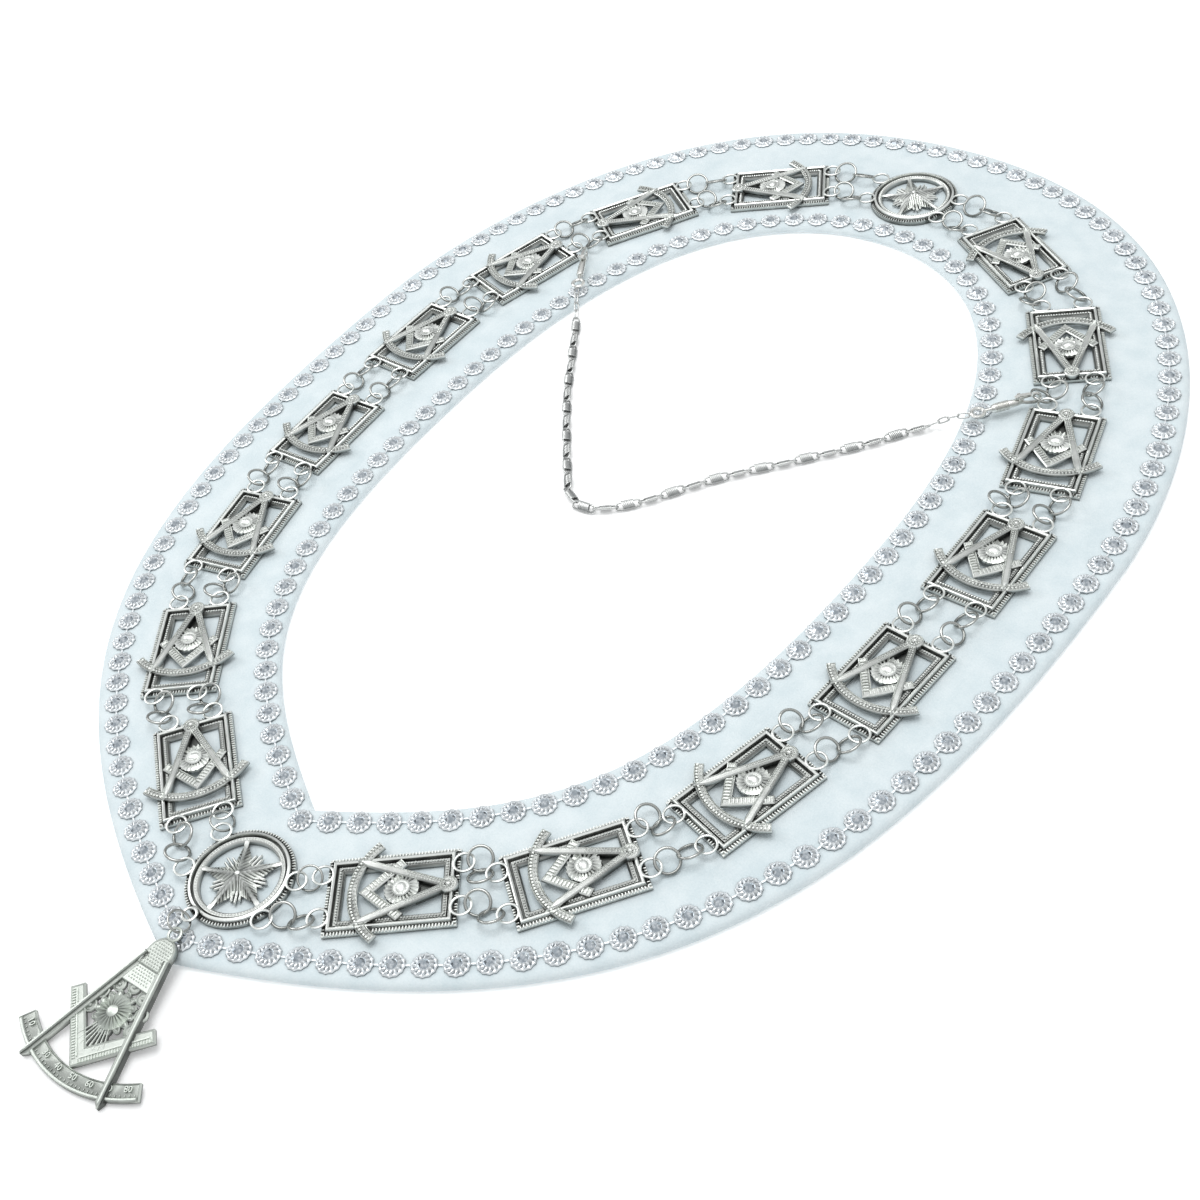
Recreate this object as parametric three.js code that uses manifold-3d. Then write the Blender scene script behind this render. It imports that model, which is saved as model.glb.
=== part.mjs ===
// Regalia chain collar, laid flat: a padded velvet band with two rows of stone trim, a chain of cast
// links down its middle, a jewel at the front point and a neck chain with two snap clasps.
// Millimetres, +Z up. X runs across the collar and Y from the jewel to the back of the neck.
// The origin is at the middle of the footprint, on the surface that the collar lies on.
import * as THREE from "three";
import { ConvexGeometry } from "three/addons/geometries/ConvexGeometry.js";
import { mergeVertices } from "three/addons/utils/BufferGeometryUtils.js";
import Module from "manifold-3d";

const wasm = await Module();
wasm.setup();

// Half outlines of the velvet: the front point, the widest place and the back, joined by curves whose
// handles have these lengths. tipTurn is the angle at which the edge leaves the front point.
const BAND_EDGE = {
  tip: -240, tipHandle: 172, tipTurn: 20.5, sideHandle: 171,
  wide: 191.5, wideY: 75, backSideHandle: 80, backHandle: 143, back: 293.5,
};
const NECK_EDGE = {
  tip: -166, tipHandle: 87, tipTurn: 28.5, sideHandle: 137,
  wide: 106.5, wideY: 44, backSideHandle: 126, backHandle: 52, back: 213.5,
};
const BAND_THICK = 3.7;
const BAND_ROUND = 1.0;
const OUTLINE_STEPS = 20;

// Sewn trim: a strip of round settings, drawn as beads between narrow waists.
const TRIM = { bottom: 4.0, top: 5.2, bead: 8.8, waist: 2.6 };
const OUTER_TRIM = { inset: 8.0, beads: 126 };
const INNER_TRIM = { inset: -6.0, beads: 88 };

// Cast links. u runs along a link, v across it; heights are above the link's underside.
const LINK = {
  bottom: 4.0, long: 47.0, wide: 31.0, bar: 5.9, thick: 3.2, raisedTo: 3.8,
  arcX: 11.2, arcRadius: 24.9, arcWide: 3.5, arcTurn: 50,
  hingeX: 20.3, hingeRadius: 3.2, legTipX: -13.0, legTipY: 13.0, legWide: 3.0,
  squareX: -11.5, squareEndX: 2.5, squareEndY: 12.4, squareWide: 3.5,
  sunX: 3.7, sunRadius: 6.3, sunTop: 4.3, bossRadius: 2.4, bossTop: 4.8,
};
const LUG = { beyond: 1.5, side: 8.7, radius: 3.7, wire: 0.5, height: 2.8, steps: 6 };
// Where the eight links of the right side lie, from the front; turn is the way that each one points,
// in degrees from +Y towards +X. The last two lie the other way round.
const LINK_PLACES = [
  { x: 51.5, y: -177.5, turn: 52 },
  { x: 100.5, y: -137.5, turn: 37 },
  { x: 130.5, y: -79.0, turn: 14 },
  { x: 144.5, y: -14.0, turn: 4 },
  { x: 148.0, y: 55.5, turn: 0 },
  { x: 140.0, y: 120.0, turn: -14.5 },
  { x: 113.5, y: 181.0, turn: -33, reversed: true },
  { x: 63.0, y: 226.5, turn: -58, reversed: true },
];

// Round star links at the front and back. points is the turn of one point of the star from +Y.
const STAR = {
  outer: 20.2, inner: 14.8, thick: 3.2, reach: 16.5, notch: 6.4, peak: 4.6, armEdge: 1.9,
  rayWide: 4.3, rayFrom: 3.5, rayTo: 10.2, rayTop: 2.2, lugRadius: 22.0,
};
const FRONT_STAR = { y: -202.6, points: 180, lugs: [26, -22] };
const BACK_STAR = { y: 245.8, points: 32, lugs: [-30, 14] };
const CLOSE_LUGS = 11;
const HANGER = { turn: 188, reach: 21.2, radius: 2.6, wire: 0.55, z: 3.5 };

// Jump rings between the links. A ring larger than the usual radius is rolled further by rollGrowth
// degrees for each millimetre, so that it stays above the velvet.
const RING = {
  radius: 4.4, wire: 0.45, sides: 4, steps: 8, roll: 28, rollGrowth: 6, hold: 5.8, hook: 0.3, z: 6.8,
  grip: 1.7, slack: 1.08,
};

// Jewel, in its own frame: the hinge of the compasses at the origin, the legs towards -Y.
const JEWEL = {
  x: 0.3, y: -240.3, z: 5.7, turn: 3, tilt: 6.1, thick: 2.2,
  headWide: 5.6, headTop: 6.3, headThick: 2.8, split: 13,
  legTipX: 19.2, legTipY: -51, legTop: 5.4, legWide: 3.0, legThick: 3.0,
  arcOuter: 51.6, arcInner: 45.3, arcTurn: 36,
  corner: -45.6, arm: 30, armWide: 5.9,
  sunY: -23.5, sunRadius: 6.6, bossRadius: 4.2, bossTop: 3.6, flames: 10, flameReach: 9.6,
  bailY: 8.2, bailRadius: 2.4, bailWire: 0.55, bailZ: 2.3,
};
const JEWEL_RING = { x: -2.8, y: -228.0, z: 9.0, radius: 4.1, wire: 0.45, turn: 31, roll: 45, rise: 1.5 };

// Neck chain route over the neck opening, between the eyes of the two clasps.
// Its ends are plain links, and the run between them is wider, because its links are wound with wire.
const CHAIN_RUNS = [
  { from: 0, to: 6, wide: 3.2, high: 3.2, steps: 13 },
  { from: 5, to: 16, wide: 4.4, high: 3.3, steps: 30 },
  { from: 15, to: 20, wide: 3.2, high: 3.2, steps: 12 },
];
const CHAIN_ROUTE = [
  [-102.4, 116.0, 7.6], [-99.6, 111.8, 6.9], [-95.6, 106.2, 4.6], [-91.2, 99.8, 2.2], [-86.3, 92.4, 1.7],
  [-75.4, 76.5, 1.7], [-64.5, 60.4, 1.7], [-45.7, 36.8, 1.7], [-26.2, 14.0, 1.7], [-18.9, 8.6, 1.7],
  [-12.0, 6.6, 1.7], [-4.0, 10.2, 1.7], [7.3, 20.2, 1.7], [28.0, 47.6, 1.7], [51.2, 72.2, 1.7],
  [68.3, 90.8, 1.7], [80.3, 106.0, 1.7], [86.8, 112.9, 2.4], [92.2, 116.6, 5.0], [96.6, 118.9, 6.9],
  [101.2, 121.4, 7.6],
];

// Clasps, in their own frame: the eye at the origin, the hook towards +X.
const CLASP = {
  eyeRadius: 2.6, eyeWire: 0.8, neck: 0.9, neckTo: 6.0, shoulder: 1.8, shoulderTo: 14.0, bodyTo: 19.0,
  bodyEnd: 1.2, hookX: 24.0, hookRadius: 2.3, hookWire: 0.7, tipX: 23.0,
};
const LEVER = {
  pivotX: 17.6, pivotZ: 2.5, boss: 0.9, pin: 0.4, play: 0.1, wide: 1.6, tail: 15.6, tip: 22.3, tipZ: 2.3,
  thick: 1.0, cheekWide: 0.6, cheekGap: 0.25, cheekLong: 1.5,
};
// Each clasp runs from its eye to the ring string between links 6 and 7.
const CLASP_PLACES = {
  right: { eye: [104.0, 124.0], toward: [123.0, 146.5], z: 8.0 },
  left: { eye: [-104.5, 119.5], toward: [-121.0, 147.5], z: 8.0 },
};

const silver = new THREE.MeshStandardMaterial({ color: 0xc9ccca, roughness: 0.32, metalness: 1.0 });
const wire = new THREE.MeshStandardMaterial({ color: 0xb8bcba, roughness: 0.28, metalness: 1.0 });
const velvet = new THREE.MeshStandardMaterial({ color: 0xe4edf0, roughness: 0.95, metalness: 0.0 });
const trimMetal = new THREE.MeshStandardMaterial({ color: 0xdfe3e8, roughness: 0.3, metalness: 0.8 });

const radians = THREE.MathUtils.degToRad;

// A closed geometry as a solid, so that cast or soldered details become one body.
function solid(geometry) {
  const bare = geometry.clone();
  bare.deleteAttribute("normal");
  bare.deleteAttribute("uv");
  const merged = mergeVertices(bare, 1e-4);
  return new wasm.Manifold(new wasm.Mesh({
    numProp: 3,
    vertProperties: merged.attributes.position.array,
    triVerts: new Uint32Array(merged.index.array),
  }));
}

function joined(geometries) {
  const whole = geometries.map(solid).reduce((sum, next) => sum.add(next));
  return whole.asOriginal().simplify(0.02);
}

function geometryOf(made) {
  const mesh = made.getMesh();
  const geometry = new THREE.BufferGeometry();
  geometry.setAttribute("position", new THREE.BufferAttribute(new Float32Array(mesh.vertProperties), 3));
  geometry.setIndex(new THREE.BufferAttribute(new Uint32Array(mesh.triVerts), 1));
  geometry.computeVertexNormals();
  return geometry;
}

function named(name, geometry, material) {
  const mesh = new THREE.Mesh(geometry, material);
  mesh.name = name;
  return mesh;
}

function shapeOf(points, hole) {
  const shape = new THREE.Shape(points);
  if (hole) shape.holes.push(new THREE.Path(hole));
  return shape;
}

// A flat shape raised from bottom to top, with bevelled upper and lower rims when bevel is given.
function raised(shape, bottom, top, bevel = 0) {
  const geometry = new THREE.ExtrudeGeometry(shape, {
    depth: top - bottom - 2 * bevel,
    bevelEnabled: bevel > 0,
    bevelThickness: bevel,
    bevelSize: bevel,
    bevelOffset: -bevel,
    bevelSegments: 1,
    curveSegments: 8,
  });
  return geometry.translate(0, 0, bottom + bevel);
}

function circle(radius, steps, x = 0, y = 0) {
  return Array.from({ length: steps }, (_, i) => {
    const a = (2 * Math.PI * (i + 0.5)) / steps;
    return new THREE.Vector2(x + radius * Math.cos(a), y + radius * Math.sin(a));
  });
}

// One closed outline of the band or of the neck opening, as points from the front round by the right.
function outline(edge) {
  const turn = radians(edge.tipTurn);
  const front = new THREE.CubicBezierCurve(
    new THREE.Vector2(0, edge.tip),
    new THREE.Vector2(edge.tipHandle * Math.cos(turn), edge.tip + edge.tipHandle * Math.sin(turn)),
    new THREE.Vector2(edge.wide, edge.wideY - edge.sideHandle),
    new THREE.Vector2(edge.wide, edge.wideY),
  );
  const back = new THREE.CubicBezierCurve(
    new THREE.Vector2(edge.wide, edge.wideY),
    new THREE.Vector2(edge.wide, edge.wideY + edge.backSideHandle),
    new THREE.Vector2(edge.backHandle, edge.back),
    new THREE.Vector2(0, edge.back),
  );
  const right = [...front.getPoints(OUTLINE_STEPS).slice(0, -1), ...back.getPoints(OUTLINE_STEPS)];
  const left = right.slice(1, -1).reverse().map((p) => new THREE.Vector2(-p.x, p.y));
  return [...right, ...left];
}

// The outline moved inwards by inset, or outwards by a negative one, its corners kept sharp.
function offset(points, inset) {
  const n = points.length;
  return points.map((p, i) => {
    const before = p.clone().sub(points[(i + n - 1) % n]).normalize();
    const after = points[(i + 1) % n].clone().sub(p).normalize();
    const inward = new THREE.Vector2(-before.y - after.y, before.x + after.x).normalize();
    const reach = inset / (inward.x * -after.y + inward.y * after.x);
    return p.clone().addScaledVector(inward, reach);
  });
}

// Places at equal steps along a closed line, starting at its first point.
function along(points, count) {
  const closed = [...points, points[0]];
  const lengths = closed.slice(1).map((p, i) => p.distanceTo(closed[i]));
  const whole = lengths.reduce((sum, length) => sum + length, 0);
  return Array.from({ length: count }, (_, k) => {
    let rest = (whole * k) / count;
    let i = 0;
    while (rest > lengths[i]) rest -= lengths[i++];
    return closed[i].clone().lerp(closed[i + 1], rest / lengths[i]);
  });
}

const bandOutline = outline(BAND_EDGE);
const neckOutline = outline(NECK_EDGE);

function backing() {
  return raised(shapeOf(bandOutline, neckOutline), 0, BAND_THICK, BAND_ROUND);
}

// A closed strip of beads along a line: wide at each setting and narrow halfway to the next one.
function trim(edge, row) {
  const line = along(offset(edge, row.inset), row.beads * 2);
  const sides = [1, -1].map((side) => line.map((p, i) => {
    const n = line.length;
    const ahead = line[(i + 1) % n].clone().sub(line[(i + n - 1) % n]).normalize();
    const half = (i % 2 ? TRIM.waist : TRIM.bead) / 2;
    return p.clone().add(new THREE.Vector2(ahead.y, -ahead.x).multiplyScalar(half * side));
  }));
  return raised(shapeOf(sides[0], sides[1]), TRIM.bottom, TRIM.top);
}

// A lug: a small wire ring cast on to the edge of a link.
function lug(x, y) {
  return new THREE.TorusGeometry(LUG.radius, LUG.wire, 4, LUG.steps).translate(x, y, LUG.height);
}

// The working emblem of a link: arc, compasses, square and sun disc, raised above its frame.
function emblem() {
  const arc = [];
  const arcSteps = 5;
  const half = LINK.arcWide / 2;
  for (const [radius, sign] of [[LINK.arcRadius + half, 1], [LINK.arcRadius - half, -1]]) {
    for (let i = 0; i <= arcSteps; i++) {
      const a = Math.PI + radians(LINK.arcTurn) * sign * ((2 * i) / arcSteps - 1);
      arc.push(new THREE.Vector2(LINK.arcX + radius * Math.cos(a), radius * Math.sin(a)));
    }
  }
  const pieces = [raised(shapeOf(arc), 0, LINK.raisedTo)];
  for (const side of [1, -1]) {
    const leg = new THREE.Vector2(LINK.legTipX - LINK.hingeX, LINK.legTipY * side).normalize();
    const across = new THREE.Vector2(-leg.y, leg.x).multiplyScalar((LINK.legWide / 2) * side);
    const head = new THREE.Vector2(LINK.hingeX, 0);
    const tip = new THREE.Vector2(LINK.legTipX, LINK.legTipY * side);
    const legPoints = [
      head.clone().add(across), head.clone().sub(across), tip.clone().addScaledVector(leg, -6).sub(across),
      tip, tip.clone().addScaledVector(leg, -6).add(across),
    ];
    pieces.push(raised(shapeOf(legPoints), 0, LINK.raisedTo));
  }
  const arm = new THREE.Vector2(LINK.squareEndX - LINK.squareX, LINK.squareEndY).normalize();
  const inset = LINK.squareWide / arm.y;
  const squarePoints = [
    new THREE.Vector2(LINK.squareX, 0),
    new THREE.Vector2(LINK.squareEndX, -LINK.squareEndY),
    new THREE.Vector2(LINK.squareEndX + inset * 0.8, -LINK.squareEndY + 2.6),
    new THREE.Vector2(LINK.squareX + inset, 0),
    new THREE.Vector2(LINK.squareEndX + inset * 0.8, LINK.squareEndY - 2.6),
    new THREE.Vector2(LINK.squareEndX, LINK.squareEndY),
  ];
  pieces.push(raised(shapeOf(squarePoints), 0, LINK.raisedTo));
  pieces.push(raised(shapeOf(circle(LINK.sunRadius, 10, LINK.sunX)), 0, LINK.sunTop));
  pieces.push(raised(shapeOf(circle(LINK.bossRadius, 6, LINK.sunX)), 0, LINK.bossTop));
  pieces.push(raised(shapeOf(circle(LINK.hingeRadius, 8, LINK.hingeX)), 0, LINK.sunTop));
  return pieces;
}

function rectangle(long, wide) {
  const x = long / 2;
  const y = wide / 2;
  return [[x, -y], [x, y], [-x, y], [-x, -y]].map(([u, v]) => new THREE.Vector2(u, v));
}

function linkSolid() {
  const opening = rectangle(LINK.long - 2 * LINK.bar, LINK.wide - 2 * LINK.bar);
  const frame = raised(shapeOf(rectangle(LINK.long, LINK.wide), opening), 0, LINK.thick);
  const lugX = LINK.long / 2 + LUG.beyond;
  const lugs = [1, -1].flatMap((end) => [1, -1].map((side) => lug(end * lugX, side * LUG.side)));
  return joined([frame, ...lugs, ...emblem()]);
}

// The way along the chain at a link, seen from above.
function direction(place) {
  return new THREE.Vector2(Math.sin(radians(place.turn)), Math.cos(radians(place.turn)));
}

function links() {
  const geometry = geometryOf(linkSolid());
  const meshes = [];
  for (const [sideName, side] of [["right", 1], ["left", -1]]) {
    LINK_PLACES.forEach((place, i) => {
      const d = direction(place);
      const mesh = named(`${sideName}_link_${i + 1}`, geometry.clone(), silver);
      mesh.position.set(place.x * side, place.y, LINK.bottom);
      mesh.rotation.z = Math.atan2(d.y, d.x * side) + (place.reversed ? Math.PI : 0);
      meshes.push(mesh);
    });
  }
  return meshes;
}

// Where a link's two lugs are at one end, inner one first; end is 1 towards the back of the neck.
function linkLugs(place, end) {
  const d = direction(place);
  const outward = new THREE.Vector2(d.y, -d.x);
  const middle = new THREE.Vector2(place.x, place.y).addScaledVector(d, end * (LINK.long / 2 + LUG.beyond));
  return [-1, 1].map((side) => middle.clone().addScaledVector(outward, side * LUG.side));
}

function starLugs(star) {
  return star.lugs.map((turn) => new THREE.Vector2(
    STAR.lugRadius * Math.cos(radians(turn)), star.y + STAR.lugRadius * Math.sin(radians(turn)),
  ));
}

// A round link: rim, five-pointed star with ridged arms, rays between the arms, and its lugs.
function starPieces(star) {
  const rim = raised(shapeOf(circle(STAR.outer, 20), circle(STAR.inner, 20)), 0, STAR.thick);
  const pieces = [rim];
  for (let i = 0; i < 5; i++) {
    const turn = radians(90 - star.points + 72 * i);
    const at = (radius, offsetTurn, z) => new THREE.Vector3(
      radius * Math.cos(turn + radians(offsetTurn)), radius * Math.sin(turn + radians(offsetTurn)), z,
    );
    pieces.push(new ConvexGeometry([
      at(1, 180, 0), at(0, 0, STAR.peak), at(STAR.notch, 36, 0), at(STAR.notch, 36, STAR.armEdge),
      at(STAR.notch, -36, 0), at(STAR.notch, -36, STAR.armEdge),
      at(STAR.reach, 0, 0), at(STAR.reach, 0, STAR.armEdge),
    ]));
    const rayLong = STAR.rayTo - STAR.rayFrom;
    const rays = new THREE.BoxGeometry(rayLong, STAR.rayWide, STAR.rayTop);
    rays.translate(STAR.rayFrom + rayLong / 2, 0, STAR.rayTop / 2);
    pieces.push(rays.rotateZ(turn + radians(36)));
  }
  for (const at of starLugs(star)) {
    pieces.push(lug(at.x, at.y - star.y), lug(-at.x, at.y - star.y));
  }
  return pieces;
}

function starLink(name, star, extra = []) {
  const mesh = named(name, geometryOf(joined([...starPieces(star), ...extra])), silver);
  mesh.position.set(0, star.y, LINK.bottom);
  return mesh;
}

// The heavy loop at the front of the front star that the jewel hangs from.
function hangerLoop() {
  const turn = radians(90 - HANGER.turn);
  return new THREE.TorusGeometry(HANGER.radius, HANGER.wire, 6, 10)
    .translate(HANGER.reach * Math.cos(turn), HANGER.reach * Math.sin(turn), HANGER.z);
}

// Two jump rings hooked into each other between two lugs. Each ring is rolled about the line to its
// own lug, so that it passes through it; where they hook into each other they count as one body.
function ringPair(from, to) {
  const span = from.distanceTo(to);
  const grown = Math.max(RING.radius, (span / 2 - LUG.radius + LUG.wire + RING.slack) / 2 + RING.wire / 2);
  const roll = radians(RING.roll + (grown - RING.radius) * RING.rollGrowth);
  const narrow = grown * Math.cos(roll);
  const meet = (turn) => 1 / Math.hypot(Math.cos(turn) / (grown - RING.hook),
    Math.sin(turn) / (narrow - RING.hook));
  let hold = RING.hold + (grown - RING.radius);
  let turn = 0;
  for (let i = 0; i < 40; i++) {
    const reach = meet(turn);
    const cosine = (span * span / 4 - hold * hold - reach * reach) / (2 * hold * reach);
    turn = Math.acos(THREE.MathUtils.clamp(cosine, -1, 1));
  }
  const reach = meet(turn);
  if (turn === 0) hold = span / 2 - reach;
  const swing = Math.asin(THREE.MathUtils.clamp((reach * Math.sin(turn)) / (span / 2), -1, 1));
  const line = to.clone().sub(from).angle();
  const rings = [];
  for (const [lugAt, way] of [[from, line], [to, line + Math.PI]]) {
    const ring = new THREE.TorusGeometry(grown, RING.wire, RING.sides, RING.steps);
    ring.rotateX(roll).translate(hold, 0, 0);
    rings.push(ring.rotateZ(way + swing).translate(lugAt.x, lugAt.y, RING.z));
  }
  return rings;
}

// The inner lugs at the front star lie too close for two rings, so one ring passes through both.
function singleRings() {
  const from = starLugs(FRONT_STAR)[0];
  const to = linkLugs(LINK_PLACES[0], -1)[0];
  const middle = from.clone().lerp(to, 0.5);
  return [["right", 1], ["left", -1]].map(([sideName, side]) => {
    const ring = new THREE.TorusGeometry(RING.radius, RING.wire, RING.sides, RING.steps);
    ring.rotateX(radians(RING.roll)).rotateZ(Math.atan2(to.y - from.y, (to.x - from.x) * side));
    const mesh = named(`${sideName}_inner_ring_front`, ring, wire);
    mesh.position.set(middle.x * side, middle.y, RING.z);
    return mesh;
  });
}

function mirroredPair([a, b]) {
  return [b, a].map((p) => new THREE.Vector2(-p.x, p.y));
}

// The strings of rings between the links, named for the row and for the two links that they join.
function rings() {
  const meshes = [];
  LINK_PLACES.slice(0, -1).forEach((place, i) => {
    const fronts = linkLugs(place, 1);
    const backs = linkLugs(LINK_PLACES[i + 1], -1);
    for (const [row, rowName] of ["inner", "outer"].entries()) {
      const ends = [fronts[row], backs[row]];
      const name = `${rowName}_rings_${i + 1}_${i + 2}`;
      meshes.push(named(`right_${name}`, geometryOf(joined(ringPair(...ends))), wire));
      meshes.push(named(`left_${name}`, geometryOf(joined(ringPair(...mirroredPair(ends)))), wire));
    }
  });
  return meshes;
}

// The strings of rings at a star link. They count as one body with the star, each gripping its lug.
function starRings(star, place, end) {
  const lugs = starLugs(star);
  return linkLugs(place, end).flatMap((to, row) => [1, -1].flatMap((side) => {
    const from = new THREE.Vector2(lugs[row].x * side, lugs[row].y);
    const far = new THREE.Vector2(to.x * side, to.y);
    if (from.distanceTo(far) < CLOSE_LUGS) return [];
    const start = from.clone().add(far.clone().sub(from).setLength(RING.grip));
    return ringPair(start, far);
  })).map((ring) => ring.translate(0, -star.y, -LINK.bottom));
}

// The jewel: compasses over a square and a quadrant arc, a sun disc between the legs, a bail on top.
function jewelSolid() {
  const arc = [];
  const arcSteps = 12;
  for (const [radius, sign] of [[JEWEL.arcOuter, 1], [JEWEL.arcInner, -1]]) {
    for (let i = 0; i <= arcSteps; i++) {
      const a = -Math.PI / 2 + radians(JEWEL.arcTurn) * sign * ((2 * i) / arcSteps - 1);
      arc.push(new THREE.Vector2(radius * Math.cos(a), radius * Math.sin(a)));
    }
  }
  const pieces = [raised(shapeOf(arc), 0, JEWEL.thick)];
  const side = Math.SQRT1_2;
  const wide = JEWEL.armWide * Math.SQRT2;
  const armEnd = JEWEL.arm * side;
  const cut = JEWEL.armWide * side;
  const square = [
    [0, 0], [armEnd, armEnd], [armEnd - cut * 0.8, armEnd + cut * 1.1], [0, wide],
    [-armEnd + cut * 0.8, armEnd + cut * 1.1], [-armEnd, armEnd],
  ].map(([x, y]) => new THREE.Vector2(x, JEWEL.corner + y));
  pieces.push(raised(shapeOf(square), 0, JEWEL.thick + 0.2));
  const web = [
    [-JEWEL.headWide, 3], [JEWEL.headWide, 3], [JEWEL.legTop + 3.6, -JEWEL.split],
    [-JEWEL.legTop - 3.6, -JEWEL.split],
  ].reverse().map(([x, y]) => new THREE.Vector2(x, y));
  pieces.push(raised(shapeOf(web), 0, JEWEL.thick));
  for (const way of [1, -1]) {
    const leg = [
      [JEWEL.legTop - JEWEL.legWide, -1], [JEWEL.legTop, -1], [JEWEL.legTipX, JEWEL.legTipY + 2],
      [JEWEL.legTipX - 1.6, JEWEL.legTipY],
    ].map(([x, y]) => new THREE.Vector2(x * way, y));
    pieces.push(raised(shapeOf(way > 0 ? leg.reverse() : leg), 0, JEWEL.legThick));
  }
  const head = [
    ...Array.from({ length: 9 }, (_, i) => new THREE.Vector2(
      JEWEL.headWide * Math.cos((Math.PI * i) / 8), JEWEL.headTop * Math.sin((Math.PI * i) / 8),
    )),
    new THREE.Vector2(-JEWEL.headWide, -6), new THREE.Vector2(JEWEL.headWide, -6),
  ];
  pieces.push(raised(shapeOf(head), 0, JEWEL.headThick));
  const flames = Array.from({ length: JEWEL.flames * 2 }, (_, i) => {
    const radius = i % 2 ? JEWEL.flameReach : JEWEL.sunRadius;
    const a = (Math.PI * (i + 0.5)) / JEWEL.flames;
    return new THREE.Vector2(radius * Math.cos(a), JEWEL.sunY + radius * Math.sin(a));
  });
  pieces.push(raised(shapeOf(flames), 0, JEWEL.thick));
  pieces.push(raised(shapeOf(circle(JEWEL.bossRadius, 12, 0, JEWEL.sunY)), 0, JEWEL.bossTop));
  pieces.push(new THREE.TorusGeometry(JEWEL.bailRadius, JEWEL.bailWire, 6, 10)
    .translate(0, JEWEL.bailY, JEWEL.bailZ));
  return joined(pieces);
}

function jewel() {
  const mesh = named("jewel", geometryOf(jewelSolid()), silver);
  mesh.position.set(JEWEL.x, JEWEL.y, JEWEL.z);
  mesh.rotation.set(radians(JEWEL.tilt), 0, radians(JEWEL.turn), "ZXY");
  return mesh;
}

function jewelRing() {
  const ring = new THREE.TorusGeometry(JEWEL_RING.radius, JEWEL_RING.wire, 6, 12);
  const mesh = named("jewel_ring", ring, wire);
  mesh.position.set(JEWEL_RING.x, JEWEL_RING.y, JEWEL_RING.z);
  mesh.rotation.set(-radians(JEWEL_RING.rise), radians(JEWEL_RING.roll), radians(JEWEL_RING.turn), "ZXY");
  return mesh;
}

function neckChain() {
  const points = CHAIN_ROUTE.map((place) => new THREE.Vector3(...place));
  return joined(CHAIN_RUNS.map((run) => {
    const route = new THREE.CatmullRomCurve3(points.slice(run.from, run.to + 1), false, "centripetal");
    const section = shapeOf(circle(0.5, 8).map((point) => new THREE.Vector2(point.x * run.high, point.y * run.wide)));
    return new THREE.ExtrudeGeometry(section, { steps: run.steps, extrudePath: route, bevelEnabled: false });
  }));
}

// A clasp's fixed part: swivel eye, neck, tapered body, hook, and the cheeks and pin of the lever. The
// hook passes up through its ring and curls back over it, so that its mouth faces back along the top.
function claspBody() {
  const eye = new THREE.TorusGeometry(CLASP.eyeRadius, CLASP.eyeWire, 6, 10);
  const profile = [
    [0, CLASP.eyeRadius], [CLASP.neck, CLASP.eyeRadius], [CLASP.neck, CLASP.neckTo],
    [CLASP.shoulder, CLASP.neckTo], [CLASP.shoulder, CLASP.shoulderTo],
    [CLASP.bodyEnd, CLASP.bodyTo], [0, CLASP.bodyTo],
  ].map(([radius, reach]) => new THREE.Vector2(radius, reach));
  const body = new THREE.LatheGeometry(profile, 8).rotateZ(-Math.PI / 2);
  const bend = [new THREE.Vector3(CLASP.bodyTo - 1.5, 0, -0.3)];
  const steps = 6;
  for (let i = 0; i <= steps; i++) {
    const a = -Math.PI / 2 + (Math.PI * i) / steps;
    bend.push(new THREE.Vector3(
      CLASP.hookX + CLASP.hookRadius * Math.cos(a), 0, CLASP.hookRadius * Math.sin(a),
    ));
  }
  bend.push(new THREE.Vector3(CLASP.tipX, 0, CLASP.hookRadius));
  const hook = new THREE.ExtrudeGeometry(shapeOf(circle(CLASP.hookWire, 6)), {
    steps: 16, extrudePath: new THREE.CatmullRomCurve3(bend, false, "centripetal"), bevelEnabled: false,
  });
  const cheekMiddle = LEVER.wide / 2 + LEVER.cheekGap + LEVER.cheekWide / 2;
  const cheekTall = LEVER.pivotZ + LEVER.pin * 2 - 0.3;
  const cheeks = [1, -1].map((side) => new THREE.BoxGeometry(LEVER.cheekLong, LEVER.cheekWide, cheekTall)
    .translate(LEVER.pivotX, side * cheekMiddle, 0.3 + cheekTall / 2));
  const pin = new THREE.CylinderGeometry(LEVER.pin, LEVER.pin, 2 * cheekMiddle, 8)
    .translate(LEVER.pivotX, 0, LEVER.pivotZ);
  return joined([eye, body, hook, ...cheeks, pin]);
}

// The lever turns on the pin and closes the mouth of the hook from the inside.
function claspLever() {
  const side = [
    [LEVER.tail, LEVER.pivotZ - 0.3], [LEVER.pivotX, LEVER.pivotZ - LEVER.boss],
    [LEVER.tip, LEVER.tipZ - LEVER.thick / 2], [LEVER.tip, LEVER.tipZ + LEVER.thick / 2],
    [LEVER.pivotX, LEVER.pivotZ + LEVER.boss], [LEVER.tail, LEVER.pivotZ + 0.5],
  ].map(([x, z]) => new THREE.Vector2(x, z));
  const hole = circle(LEVER.pin + LEVER.play, 10, LEVER.pivotX, LEVER.pivotZ);
  const plate = new THREE.ExtrudeGeometry(shapeOf(side, hole), { depth: LEVER.wide, bevelEnabled: false });
  return plate.translate(0, 0, -LEVER.wide / 2).rotateX(Math.PI / 2);
}

function clasp(sideName, place) {
  const group = new THREE.Group();
  group.position.set(place.eye[0], place.eye[1], place.z);
  group.rotation.z = Math.atan2(place.toward[1] - place.eye[1], place.toward[0] - place.eye[0]);
  group.add(named(`${sideName}_clasp_body`, geometryOf(claspBody()), wire));
  group.add(named(`${sideName}_clasp_lever`, claspLever(), silver));
  return group;
}

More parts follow.
